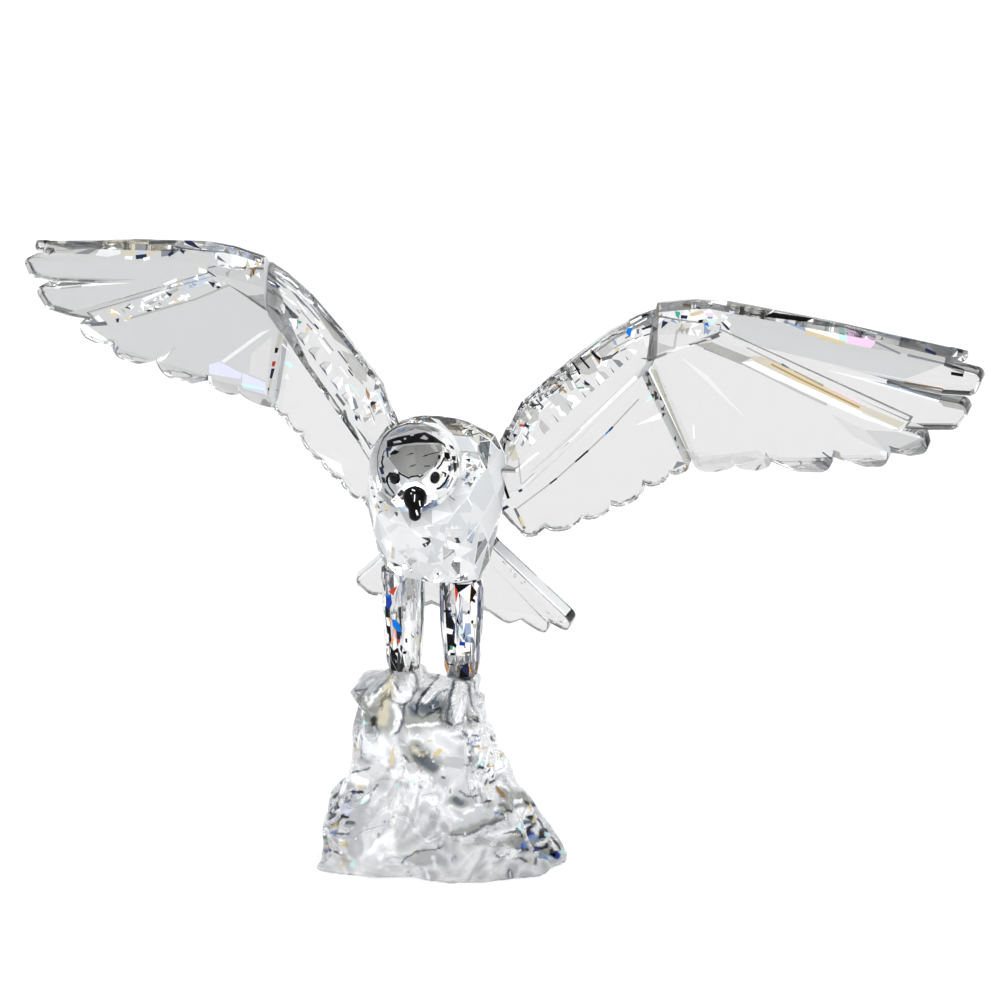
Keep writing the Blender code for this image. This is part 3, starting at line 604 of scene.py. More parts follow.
WRIST_OUTLINE = [(-6.0, -3.2, 0), (1.7, 0.9, 0), (24.2, 12.0, 0), (22.6, 18.2, 0), (13.0, 17.8, 0),
                 (3.4, 15.8, 0), (-6.0, 13.2, 0)]
JOINT_PLANE = Plane(90, -20.3, (69.2, 0, 33.5))
WING_JOINT = [(73.0, 22.0), (69.2, 33.5), (58.3, 63.0), (61.4, 67.8), (63.2, 85.5), (64.6, 99.0)]

# Grooves, as (across, up) from the feather edge inward
LOWER_GROOVES = [((14.4, 2.0), (13.6, 5.2)), ((25.4, 5.0), (23.9, 8.4)), ((43.8, 9.6), (39.0, 14.0)),
                 ((59.8, 13.6), (54.5, 17.2))]
UPPER_GROOVES = [((59.0, -15.9), (26.0, -9.6)), ((75.2, -8.6), (50.0, -5.6))]


def inner_wing():
    """The plate of secondary feathers with the arm block that carries the covert notches."""
    feathers = plate(INNER_OUTLINE, INNER_THICK, 0.7)
    feathers.transform(INNER_PLANE.matrix())

    arm = plate(ARM_OUTLINE, ARM_THICK, 0)
    for start, end in chain(ARM_LEADING):
        slope(arm, start, end, 9.0, 3.2)
        slope(arm, start, end, 5.2, 3.9)
        slope(arm, start, end, 3.8, 4.3, lift=0.5)
        slope(arm, start, end, 2.6, 4.2, lift=0.9)
        slope(arm, start, end, 5.0, 3.6, behind=ARM_THICK)
        slope(arm, start, end, 2.6, 3.4, lift=0.4, behind=ARM_THICK)
    slope(arm, *ARM_LOWER, 1.5, 2.2)
    arm.transform(ARM_PLANE.matrix())
    arm = joined(arm, [notch_wheels()], "DIFFERENCE")
    return joined(arm, [feathers], "UNION")


def notch_wheels():
    """A row of small grinding wheels that cut the covert notches across the arm's front bevel."""
    start, end = (Vector(point) for point in NOTCH_ROW)
    along = (end - start).normalized()
    lie = Matrix.Rotation(math.radians(90), 4, "Y")
    turn = Matrix.Rotation(math.atan2(along.x, -along.y), 4, "Z")
    bm = bmesh.new()
    for index in range(NOTCHES):
        spot = start.lerp(end, index / (NOTCHES - 1))
        place = Matrix.Translation(Vector((spot.x, spot.y, 1.5)) * MM)
        bmesh.ops.create_cone(bm, cap_ends=True, segments=8, radius1=2.6 * MM, radius2=1.56 * MM,
                              depth=7.5 * MM, matrix=place @ turn @ lie)
    bm.transform(ARM_PLANE.matrix())
    return bm


def outer_wing():
    """Upper primaries over lower primaries, with the wrist plate over both."""
    lower = plate(LOWER_OUTLINE, LOWER_THICK, 0.7)
    slope(lower, (-10.7, 30.0), (0.1, -1.0), 4.4, 2.6)
    for start, end in (((-2, -2), (24, 0.6)), ((24, 0.6), (60, 7.6)), ((60, 7.6), (73, 16))):
        slope(lower, start, end, 7.0, 1.1)
        slope(lower, start, end, 5.0, 1.2, behind=LOWER_THICK)
    lower.transform(LOWER_PLANE.matrix())
    lower = joined(lower, [grooves(LOWER_GROOVES, LOWER_PLANE)], "DIFFERENCE")

    wrist = plate(WRIST_OUTLINE, WRIST_THICK, 0)
    slope(wrist, (1.7, 0.9), (24.2, 12.0), 1.0, 1.6)
    slope(wrist, (24.2, 12.0), (22.6, 18.2), 2.0, 2.2)
    slope(wrist, (22.6, 18.2), (3.4, 15.8), 6.4, 2.6)
    wrist.transform(WRIST_PLANE.matrix())

    upper = plate(UPPER_OUTLINE, UPPER_THICK, 0.7)
    for start, end in chain(UPPER_LEADING):
        slope(upper, start, end, 5.6, 2.2)
        slope(upper, start, end, 3.0, 2.6, lift=0.3)
        slope(upper, start, end, 1.8, 2.8, lift=0.9)
        slope(upper, start, end, 4.0, 2.6, behind=UPPER_THICK)
    slope(upper, (7.9, -12.6), (62.6, -30.6), 6.0, 2.6)
    slope(upper, (7.9, -12.6), (62.6, -30.6), 3.4, 2.7, lift=0.3)
    upper.transform(UPPER_PLANE.matrix())
    upper = joined(upper, [grooves(UPPER_GROOVES, UPPER_PLANE)], "DIFFERENCE")
    return joined(upper, [lower, wrist], "UNION")


def grooves(lines, plane, half_width=0.7):
    """Tapering V-shaped wheels that cut the lines between feathers into a plate's front."""
    bm = bmesh.new()
    for start, end in lines:
        a, b = Vector((*start, 0)) * MM, Vector((*end, 0)) * MM
        along = (b - a).normalized()
        a -= along * 1.5 * MM
        turn = Vector((0, 0, 1)).rotation_difference(along).to_matrix().to_4x4()
        side = turn @ Vector((1, 0, 0, 0))
        level = Matrix.Rotation(math.atan2(side.z, math.hypot(side.x, side.y)), 4, "Z")
        place = Matrix.Translation((a + b) / 2 - Vector((0, 0, 0.2 * MM)))
        bmesh.ops.create_cone(bm, cap_ends=True, segments=4, depth=(b - a).length, radius1=half_width * MM,
                              radius2=0.2 * half_width * MM, matrix=place @ turn @ level)
    bm.transform(plane.matrix())
    return bm


def joint_side(side):
    """Everything beyond the wing's glued joint, on one side of it, half a gap past its middle."""
    line = [(x * MM - side * GLUE_GAP / 2, z * MM + LEG_TOP_Z) for x, z in WING_JOINT]
    far = 0.31 if side > 0 else -0.03
    outline = line + [(far, line[-1][1]), (far, line[0][1])]
    bm = bmesh.new()
    face = bm.faces.new([bm.verts.new((x, -0.06, z)) for x, z in outline])
    walls = bmesh.ops.extrude_face_region(bm, geom=[face])
    moved = [item for item in walls["geom"] if isinstance(item, bmesh.types.BMVert)]
    bmesh.ops.translate(bm, verts=moved, vec=(0, 0.12, 0))
    return bm


def body_room():
    """The body's solid, grown by the glue gap, so that what is glued on stops short of it."""
    cad = facets_of("body")
    planes = [(face.normal.copy(), face.normal.dot(face.verts[0].co)) for face in cad.faces]
    middle = sum((vert.co for vert in cad.verts), Vector()) / len(cad.verts)
    cad.free()
    bm = bmesh.new()
    bmesh.ops.create_cube(bm, size=0.3)
    bmesh.ops.translate(bm, verts=bm.verts, vec=middle)
    for normal, distance in planes:
        cut(bm, normal * (distance + GLUE_GAP), normal)
    return bm


def mirrored(bm):
    """The same mesh turned over at the middle plane."""
    other = bm.copy()
    other.transform(Matrix.Scale(-1, 4, (1, 0, 0)))
    bmesh.ops.reverse_faces(other, faces=other.faces)
    return other


def tidy(bm):
    """Coplanar faces become one facet again."""
    bmesh.ops.remove_doubles(bm, verts=bm.verts, dist=WELD)
    bmesh.ops.dissolve_degenerate(bm, edges=bm.edges, dist=WELD)
    bmesh.ops.dissolve_limit(bm, angle_limit=CUT_FLAT, verts=bm.verts, edges=bm.edges)
    return bm


# How a face lies to its plate: an edge-on wide one is a joint's bar, and a flat one is the plate itself
EDGE_ON = 0.55
FLAT_ON = 0.995
BAR_AREA = 50 * MM * MM
CALM_AREA = 9 * MM * MM


def feather_fire(seed, fronts, small=WING_FIRE, large=14.0, plates="plate"):
    """Painted tones: calm greys on plate faces, dark on rims, and painted fire and glints on small facets."""
    fire = Fire(seed)

    def choose(face):
        drawn, rim = fire.draw(small), fire.draw(RIM_FIRE)
        facing = max((face.normal.dot(front) for front in fronts), key=abs)
        if abs(facing) < EDGE_ON:
            return tint("chalk") if face.calc_area() > BAR_AREA else rim
        if face.calc_area() > large * MM * MM or abs(facing) > FLAT_ON:
            return tint(plates if facing > 0 else "clear")
        if face.calc_area() > CALM_AREA:
            return fire.draw(CALM_FIRE)
        return drawn
    return choose


# How far behind and in front of a plane its marks reach, in mm
PLATE_REACH = (-5.0, 4.0)
ARM_REACH = (-8.0, 4.0)
UPPER_REACH = (-6.0, 3.0)
JOINT_REACH = (-14.0, 14.0)
HEAD_REACH = (0.0, 14.0)
LIMB_REACH = (-12.0, 12.0)
BODY_REACH = (-40.0, 30.0)


def outlines(shapes):
    """Each shape as its tint and convex outlines. A shape that has a width is a stroke along its points."""
    for name, width, *points in shapes:
        points = [Vector((*point, 0)) for point in points]
        if width == 0:
            yield name, points
            continue
        for start, end in chain(points):
            along = (end - start).normalized() * width / 2
            aside = Vector((-along.y, along.x, 0))
            start, end = start - 0.3 * along, end + 0.3 * along
            yield name, [start - aside, end - aside, end + aside, start + aside]


def mark(piece, plane, shapes, side=1, reach=PLATE_REACH):
    """Splits a piece's front faces along outlines in plane coordinates, and gives the parts painted light and
    shade.
    """
    place = Matrix.Scale(side, 4, (1, 0, 0)) @ plane.matrix()
    into = place.inverted()
    bm = bmesh.new()
    bm.from_mesh(piece.data)
    layer = bm.faces.layers.float["cut"]

    def flat(co):
        return into @ co / MM
    ground = set()
    for face in bm.faces:
        depth = flat(face.calc_center_median()).z
        if (into.to_3x3() @ face.normal).z > 0.3 and reach[0] < depth < reach[1]:
            ground.add(face)
    for name, corners in outlines(shapes):
        if sum(a.cross(b).z for a, b in zip(corners, corners[1:] + corners[:1])) < 0:
            corners.reverse()
        inside = set()
        for face in ground:
            spots = [flat(vert.co) for vert in face.verts]
            apart = False
            for axis in (0, 1):
                apart |= max(spot[axis] for spot in spots) < min(corner[axis] for corner in corners)
                apart |= min(spot[axis] for spot in spots) > max(corner[axis] for corner in corners)
            if not apart:
                inside.add(face)
        for start, end in zip(corners, corners[1:] + corners[:1]):
            along = (end - start).normalized()
            outward = Vector((along.y, -along.x, 0))
            parts = set(inside)
            for face in inside:
                parts.update(face.verts, face.edges)
            if not parts:
                break
            result = bmesh.ops.bisect_plane(bm, geom=list(parts), dist=1e-7, plane_co=place @ (start * MM),
                                            plane_no=place.to_3x3() @ outward)
            faces = {item for item in result["geom"] if isinstance(item, bmesh.types.BMFace)}
            ground |= faces
            inside = {face for face in faces if outward.dot(flat(face.calc_center_median()) - start) < 0}
        for face in inside:
            face[layer] = tint(name)
    bm.to_mesh(piece.data)
    bm.free()


def streaks(seed, path, count, deep):
    """Short dashes of painted highlight and shade beside a path, as shapes."""
    fire = Fire(seed)
    shapes = []
    runs = chain([Vector(point) for point in path])
    for index in range(count):
        start, end = fire.random.choices(runs, [(b - a).length for a, b in runs])[0]
        along = (end - start).normalized()
        inward = Vector((-along.y, along.x))
        spot = start.lerp(end, fire.random.random()) + inward * fire.random.uniform(*deep)
        reach = along * fire.random.uniform(0.8, 3.4)
        width = fire.random.uniform(0.25, 0.6)
        shapes.append((fire.pick(STREAK_FIRE), width, tuple(spot - reach), tuple(spot + reach)))
    return shapes


def sparks(seed, patch, count, size, shares=SPARK_FIRE):
    """Small patches of painted light and shade, of random shape, within a four-sided patch, as shapes."""
    fire = Fire(seed)
    shapes = []
    for index in range(count):
        spot = fire.spot(patch)
        around = fire.random.uniform(0, 2 * math.pi)
        corners = []
        for turn in range(3):
            far = size * fire.random.uniform(0.4, 1.0)
            angle = around + turn * 2.09 + fire.random.uniform(-0.5, 0.5)
            corners.append((spot.x + far * math.cos(angle), spot.y + far * math.sin(angle)))
        shapes.append((fire.pick(shares), 0, *corners))
    return shapes


def rows(text):
    """Reads a table. Each row is a tint, its stroke's numbers if it is a stroke, a colon, and points."""
    table = []
    for row in text.strip().splitlines():
        head, points = row.split(":")
        name, *numbers = head.split()
        points = [tuple(float(part) for part in point.split(",")) for point in points.split()]
        table.append((name, *(float(number) for number in numbers or [0]), *points))
    return table


# Painted highlights, reflections, fire and shade on the facets, measured on the photograph, in mm on their
# own plane. Each row is a tint, the width if it is a stroke, and its corners or the points along it
LEFT_UPPER_SHAPES = rows("""
haze: 15,-1.3 25.8,-1.2 25.7,-9.2 17.7,-7.5
haze: 25.8,-1.2 56.1,-6.4 52,-12.7 25.7,-9.2
haze: 56.1,-6.4 66.1,-7 65.7,-13.7 52,-12.7
haze: 66.1,-7 75.8,-8.5 65.7,-13.7
ash: 15.1,3.5 29.8,2.2 25.8,-1.2 15,-1.2
grey: 29.8,2.2 39.5,1.2 39.5,-0.5 28.1,0.4
grey: 39.5,1.2 57.2,-1 57.2,-2.9 39.5,-0.5
slate: 39.5,-0.5 57.2,-2.9 56.7,-4.3 39.5,-1.7
ash: 39.5,-1.7 56.7,-4.3 56.4,-6.4 39.5,-4.1
slate: 57.2,-1 66.3,-2.5 66.1,-4.3 57.2,-2.9
grey: 57.2,-2.9 66.1,-4.3 66.1,-7 56.4,-6.4
grey: 66,-2.5 78.6,-2.1 76.8,-8.1 66,-7
black: 25.8,-1 28.1,0.3 39.5,-0.4 37.5,-1.3
steel: 30.4,-1.4 37.5,-2.5 37.9,-3.7 31.8,-2
white: 37.2,-1.8 48,-2 48.6,-5.6 37.9,-3.7
aqua: 46.6,-1.8 49.2,-2 49.8,-5.7 47.3,-5.4
pink: 49,-2 57.4,-4.2 56,-6.3 49.4,-5.7
gold 1: 37.9,-3.8 48.6,-5.8
pale: 68,-4 71.3,-4.2 73.2,-6.1 69.4,-5
ink 0.8: 70.5,-5.4 73.2,-6.3
slate 0.6: 66,-7.2 76.3,-8.5
slate 0.5: 57,-4.7 63.9,-7
smoke 0.6: 15.1,2.6 17.4,2.5
ash 0.5: 21.6,-9.9 34.9,-15.2 43,-18.4
smoke 0.7: 31.5,-13.6 33.2,-14.6
white 0.8: 66.6,-14.8 75.9,-15.3
smoke 0.5: 60.7,-15 64.4,-15.9 72.7,-18.2
brown 0.6: 65.5,-14.8 75.9,-15.4
ash: 74.9,-18.8 83.2,-19.2 82.9,-21 76.1,-20.4
slate 1.2: 76.7,-8.7 81.2,-9.9
black 0.8: 78,-10.7 81,-10.9
khaki: 21.6,-12.7 25.7,-12 34.9,-15.2 53.3,-23 53.3,-25.6 34.9,-18.9 23.9,-14.7
gold: 25.7,-12.9 29.7,-13.6 43,-18.9 53.3,-23.2 53.3,-25.6 34.9,-18.9
brown 0.7: 28.3,-14.2 37.2,-18.1 52.8,-24.3
brown 0.4: 34.9,-15.2 43,-18.9
pink 0.6: 45.3,-19.1 53.1,-22.4
white: 18.7,-15.6 22.8,-14.1 34.9,-18.9 34.9,-22.3
white: 34.9,-18.9 53.3,-25.6 53.3,-28.6 34.9,-22.3
white: 53.3,-26.4 63.5,-29.4 61.3,-30.2 53.3,-28.6
khaki: 53.3,-23 65.7,-27 63.5,-29.4 53.3,-25.6
ash: 5.7,-11.9 11.1,-9.9 22.5,-13.2 18.9,-15.7
grey 1: 18.9,-15.9 34.9,-22.6 43,-25.6
slate 0.5: 8.1,-12.8 18.9,-16.1
""")
LEFT_LOWER_SHAPES = rows("""
fog: 43.9,24.3 53.3,20.6 59.2,14.3 50,17.8
haze: 53.3,20.6 62.2,21.3 69.6,20 69.5,17.6 59.2,14.3
fog: 1.1,-0.6 -0.5,2.5 21.6,8.9 24.5,6.7 12.5,1.8
white 0.5: 2.7,14.3 2.5,9.9
smoke 0.6: 40.9,11.3 43.8,8.8
pale: 0.5,36.7 8,31.8 19.2,18.7 11.8,25.7
moss: -10.8,30.1 -7.2,30.6 -5.3,21.6 -8.6,21.1
smoke: -13.7,28 -12.6,28.9 -11.9,26.9 -12.7,26
khaki: -9.4,29.9 -8.1,30.3 -8.1,26.7 -9.1,26.9
ink: -9.7,26.8 -8.6,26.6 -8.7,24.3 -9.5,25.2
white: -11,27 -10.1,27.5 -10,25.3 -10.9,25.2
ink: -9.2,24.3 -7.1,23.8 -7.9,22.5 -8.9,23.1
gold: -10.5,23.1 -9.7,23 -9.1,21.2 -10.2,21.2
moss: -7.5,30 -0.1,4.5 -3.9,4.7 -10.5,29.6
moss: -13.7,27.1 -10.5,29.6 -7.4,16.7 -8.8,16.2
smoke: -9.1,24 -7.4,22.5 -7.8,18.4 -8.9,21.1
white: -11.1,26.1 -10.1,25.6 -8.8,21.7 -10.1,22.1
gold: -9.9,22.2 -8.9,20.5 -8.5,18.8 -9.6,19.3
white: -8.1,20.7 -7.4,19.6 -8.2,16.5 -8.6,18
smoke: -5.1,7.7 -4.2,7.2 -3.8,5.4 -4.6,5.5
ink: -3.5,3.1 -2.2,2.9 -1.3,1.1 -2.8,1
white: -4.4,5 -3.3,4.5 -2.9,3.4 -4,3.2
khaki: -1.5,3.6 0.1,3.9 0.2,1.8 -1.1,2.2
smoke: -1.3,0.1 -0.4,0.8 -0.3,-0.7 -1,-1.3
""")
LEFT_WRIST_SHAPES = rows("""
ash 0.6: 3.3,9.1 2.5,5.2 2.4,3
grey 0.7: 10.3,11.3 9.5,5.9
smoke 1.3: 13.8,7.1 15.6,7.5 18.1,8.6
smoke 1: 19.7,9.6 22,10.9
khaki 0.5: 15.5,6.9 19.7,9
white 1.6: 4.5,3 8.5,5 13.5,6.7
white: 1.3,-0.7 3.8,2.7 4.3,2.4 4.4,-1.3
khaki: 4.3,2.3 7.2,1.9 4.5,-0.1
blue: 11,20.2 14.4,20.6 14.1,19.9 11.2,19.7
smoke: 15.2,20.4 18.4,20.5 17.8,20 15.3,19.8
lilac: 18.8,20.7 22.2,20.9 21.7,20.2 18.9,20.1
black: 22.5,21 25.3,20.7 24.5,20.2 23.1,20.3
white 1: 7.6,16.9 9.4,18.3 12.4,18.1
brown 0.8: 11.2,18.1 13.5,18
ink: 15,18.1 16.5,17.8 16.3,17.4 15,17.7
white 0.8: 17,19.1 21.9,18.8
teal: 8.9,16.1 10.6,16.1 10.4,14.2 9.4,14.9
ink: 10.7,15.3 12.9,15.4 12.7,14.5 10.9,14.4
gold: 13.4,16.1 17,17.3 17.5,16.7 13.7,15
white 1.2: 13.1,14.5 17.7,15.6
pink: 18,16.7 20.3,16.8 20.1,16 17.8,15.8
aqua: 17.9,15.4 21.5,15.2 20,13.8
ink: 22.5,14.8 23.8,14.6 25.3,12.9 24.6,12.7
white 0.8: 22.6,16.4 24.2,15.9
lilac 0.9: 23.7,17.4 26,17.6
white 1: 23.7,15 25.1,14
gold 0.6: 3.8,13 4.8,14.4
white 1: 3.1,11.9 6.1,14.5
""")
LEFT_ARM_SHAPES = rows("""
white 1.5: 34.6,36.7 18.9,19.7
white 0.8: 18.9,19.7 7,7.4
pale 0.6: 7,7.4 1.5,0.9
grey 0.4: 14.8,15.4 1.5,1.9
grey: 11.5,34.9 14,35.9 17.5,32.3 15.5,30.8
grey: 15,38.7 20,41.8 23.5,37.6 20.5,35.9 18.1,36
grey: 22,43.4 25.3,45.6 27.4,43.9 24.1,40.9
haze: 25.3,47 28.3,47.2 27.4,44.2 25.3,45
grey: -1.6,20.9 1.8,24.6 5.3,24.3 6.1,21.4 3,19.7
haze: 7.6,27.9 11.4,29.7 16.3,27.5 15,23.7
white 0.7: 13.8,35.9 16.7,31.9
smoke 0.9: 13.7,35.4 15.4,33.9
white 1.1: 14.8,38.2 17.6,35.3
black 0.6: 15.3,38.4 16.9,36.9 17.7,35.8
black 0.6: 17.3,40.3 20.5,37.9
brown 0.7: 20.3,42.7 23.8,39.6
black 0.8: 20.8,42.4 22.2,41.4 24.1,40.5
white 1.6: 24,40 25.7,39.8
smoke 1: 24.3,40.8 27.1,41.9
brown 0.6: 10.1,32.3 14,30.2
smoke 1.3: 4.4,26.4 6.8,24.8
white 1: 3.5,26.5 6,24.7
blue: 30.9,50 32.9,50.6 33.3,49 32,47.9 30.7,48.8
white 1.2: 33.2,51 32.8,48
smoke 0.7: 34.2,50.1 34.4,49.1
ink: 19.3,34.5 21.3,33.5 20.8,33 19.5,33.2
teal 0.4: 17.4,32 19.4,32.3
white 0.6: 18.4,31.5 21,32.1
steel: 26.6,46.8 28,46.2 28.5,45 27.4,45.3
gold 0.8: 28.1,43.9 29.1,44.4
lilac 0.9: -1.9,18.5 0,18.6
red 0.6: -0.4,18.7 1.2,19
ink 0.9: 1.4,19.2 3.3,18.7
aqua 0.9: 3.1,18.5 4.4,19.1
steel: -3.1,17 -2.1,16.7 -2.2,15.7 -2.9,15.8
black: -5.1,15 -2.7,13.6 -4.6,13.7
khaki: -3.6,11.8 -1.5,13.1 0.1,9.1 -2.1,8
black: -5.4,12.8 -4.6,12.9 -5,9.7 -5.6,10.1
white 1.2: 1.5,23.2 3.1,21.4
white 1.2: 11.7,26 12.9,23.5
black 0.8: -5.4,8 -3.6,1.9 -2.5,-2.7
white 0.9: -6.2,11.1 -3.9,2.4
ink: -5.4,-6.5 -3,-4.9 -2.4,-5.6 -5.1,-7.4
smoke 0.8: -0.9,-6 0.1,-8.8 1.4,-12.3
gold 0.8: 0.4,-8.7 1.2,-11.5
ink 0.7: 0.5,-0.5 1.3,0.1
""")
LEFT_INNER_SHAPES = rows("""
ash 0.45: 33.4,44 26.1,35.1
ink 0.6: 26.2,35.2 25.2,34
blue 0.5: 25.2,34 24.2,32.9
ash 0.45: 24.2,32.9 19.3,27.6
black 0.55: 19.3,27.6 15.7,24
ash 0.45: 15.7,24 10.4,18.6
black 0.5: 10.4,18.6 8.4,16.8
ash 0.45: 8.4,16.8 -0.9,8.8
grey 0.5: -0.6,24 0.2,16.7
""")
RIGHT_UPPER_SHAPES = rows("""
haze: 76.6,-10.1 27.8,-4.5 24.8,-10.8 63.5,-15.5
grey: 78.6,-2.3 51.3,-0.4 54.9,-5.7 75.4,-7.8
khaki: 51.3,-0.4 26.3,2.6 25.1,0.1 37.1,-4.7 48,-5.4 54.6,-3.8
slate: 68.2,-3.1 57.5,-3 61.5,-4.1 68,-3.7
slate: 65.5,-6.9 59.6,-4.9 56.1,-4.4 59.9,-6.5
pale: 54.9,-3.8 47.5,-2.4 47.3,-5 52.3,-6.4 57.1,-6.4
mist: 41.3,-1.7 36.6,-1.2 38.4,-4.3 41.2,-4.9
smoke 0.9: 36.8,-0.7 26.9,0.8
white: 31.9,-1.2 26,0.3 26.9,-1.1 29.3,-1.6
slate: 32,-2.1 24.6,-1 27.5,-3.1 31.7,-4.1
ink 1.2: 41.2,-5.2 37.4,-4.5
ink 1: 28.9,-3.3 27.4,-2.2
white 0.9: 45.4,-5.8 42.7,-5.6
white 0.9: 38.3,-5.5 36.1,-4.9
ash: 25.7,2.3 13.1,3.7 16.4,1.1 23,0.9
ink: 25.5,2.2 20.3,1.2 16.6,-0.4 23,0.6
black: 14.4,3.7 11.5,3.8 12.3,2.5
white: 9.3,0.7 2.3,0.7 -0.9,0.2 5.7,-0.9
smoke: 12.7,-0.2 10.9,-1.2 6,-3.5 10.4,-2.5
khaki: 24,-1.5 15.3,-4.5 9.2,-7.3 17.2,-4.2
ink 0.8: 24.6,-1.3 23.4,-2
white 1.2: 68.6,-16.7 64.9,-15.5
white 1.3: 76.3,-17.9 65,-15.6
ash 0.6: 72.2,-19 63.9,-17.3
haze: 60.8,-27.7 47.2,-20.9 26,-10.4 14.1,-5.5 6.3,-9.8 22.4,-17 44.8,-26.9
mist: 25,-12.6 21.2,-9.3 14.5,-7.9 14.2,-10.7 22.6,-14.1
white: 42.2,-19.4 26.9,-11.7 26.3,-12.5 41,-20.1
white: 32.8,-20 24.1,-15.4 23.6,-16.5 32.2,-20.4
white: 31.7,-12.5 26.6,-10.2 26.1,-11 31.1,-13.3
ash: 41.1,-21.1 27.1,-13.5 26.6,-14.3 39.8,-21.5
ink 0.9: 14.9,-6.2 11.8,-7.6
white 1.6: 17.5,-6.5 14.9,-6.8
ink: 13.1,-7.7 12.2,-10.5 8.2,-9.7 11.9,-12.5
black 0.8: 13.1,-12.3 11.4,-11.6
white: 62.3,-28.2 60,-27 59.1,-29.6 62.3,-30
gold: 56.1,-24.7 52.5,-23.7 52.2,-26 55.2,-27.6
ink: 49,-23.2 46.2,-21.1 47.3,-23.6
ink: 55,-28.5 53.6,-28 54.2,-29.6 55,-29.7
white: 52,-28.7 48.8,-26.5 47.9,-27 51.3,-28.9
gold 0.8: 51.2,-28.2 49,-27.4
ink 0.9: 41.9,-24.1 37.3,-22.4
white: 37.8,-21.5 36,-20.7 36.5,-22 38.3,-22.5
ash 0.7: 49,-27.4 22.5,-17.6 6.3,-9.9
smoke 1.4: 65.4,-31.7 59.2,-30.6
""")
RIGHT_LOWER_SHAPES = rows("""
lilac: 22.8,11.8 18.7,13.6 11,10.2 12.1,8.1 23.5,8.4
lilac: 10.9,10.5 3,8.1 3.4,3.2 12.2,4.5
aqua: 12,6.8 4.1,6 4.3,5 12.1,5.2
white: 42,10.8 36.3,14.8 38.3,12.3 43.1,9
grey 0.5: 38.3,12.3 34.2,16.7
pale: 1.2,26.2 -3,28 16.9,13.2 18.1,13.7
fog: 6.1,17.9 -2.8,25.4 2.2,8.8 8.3,10.6
white 0.9: 44.4,9.1 40.3,12
lilac: -5.9,29.9 -8.5,31.2 -6.7,26.9 -5.5,28
moss: -5.6,27.1 -6.6,26.6 -3.7,20.2 -2.8,20.7
black: -3.2,21.4 -4,21.2 -3.3,19.4 -2.5,19.4
red: -1.2,16.4 -2.1,16.2 -1.3,14.2 -0.6,14.6
ink: -0.3,13.7 -1.2,13.5 0.5,9.7 1.1,10
moss: 1.1,9.6 0.5,9.4 2.8,3.6 3.5,3.5
black: 2.5,6.2 2,6.3 2.4,5.3 2.8,5.2
""")
RIGHT_INNER_SHAPES = rows("""
aqua: 37.9,39.7 35,41 32.6,39.7 34.3,38.4
pale: 39.2,34.1 36.7,36.4 35.8,34.3
moss 1.1: 23.6,44 18.1,36.6
ash 1: 18.1,36.6 12.4,30.4
pale 1: 25.5,43.6 15.6,32
white: 27.8,12.5 15.1,11.6 14.2,7.7 21.3,8.8
""")
RIGHT_ARM_SHAPES = rows("""
white 1.4: 30.5,38.1 26.6,33.7
slate: 38,44.4 34.4,43.3 32.1,41.4 33.8,41.7
ash 0.5: 50.3,48.2 38,44.6
steel: 38.3,50.6 35,50 34.7,49.2 37.3,49.7
ink: 36.9,51.4 34.2,49.8 35,49.4
teal: 27.5,40.9 25.6,40.6 26.2,39.7
gold: 24.3,38.9 23,39.3 23.3,37.7 24.1,37.8
white: 44.2,58.9 39.6,56.4 35.7,53.7 38.3,54.2
slate: 41.6,54.8 38.3,53.3 31.7,49.3 35.7,51
slate: 31.1,49.4 28.5,48.1 23.3,43.9 26.6,45.6
ash: 23.3,45 14.9,39.6 8.5,33 14.9,36.4
white: 28.8,49.7 26.9,49.6 24,47.1 25.9,47.3
ink: 26.2,50 22.7,47.2 23.6,47.1
white 1.2: 22,45.2 16.9,41.5
slate: 7.8,24.1 5.9,19.8 3.7,18 6.5,16.4
white 1.2: 9.1,23.7 6.5,17
brown: 3.3,23.7 1.8,21.5 2.1,19.8 3.1,22.1
ink: 5.9,15.2 4.7,14.8 5.2,13.3 5.9,14.1
smoke 1: 12.6,20.4 9.7,17.6
smoke 1: 9.7,15.9 8.1,11.2
grey: 12.4,33.5 4.7,31.4 3.1,25.1 6.6,25.7
""")
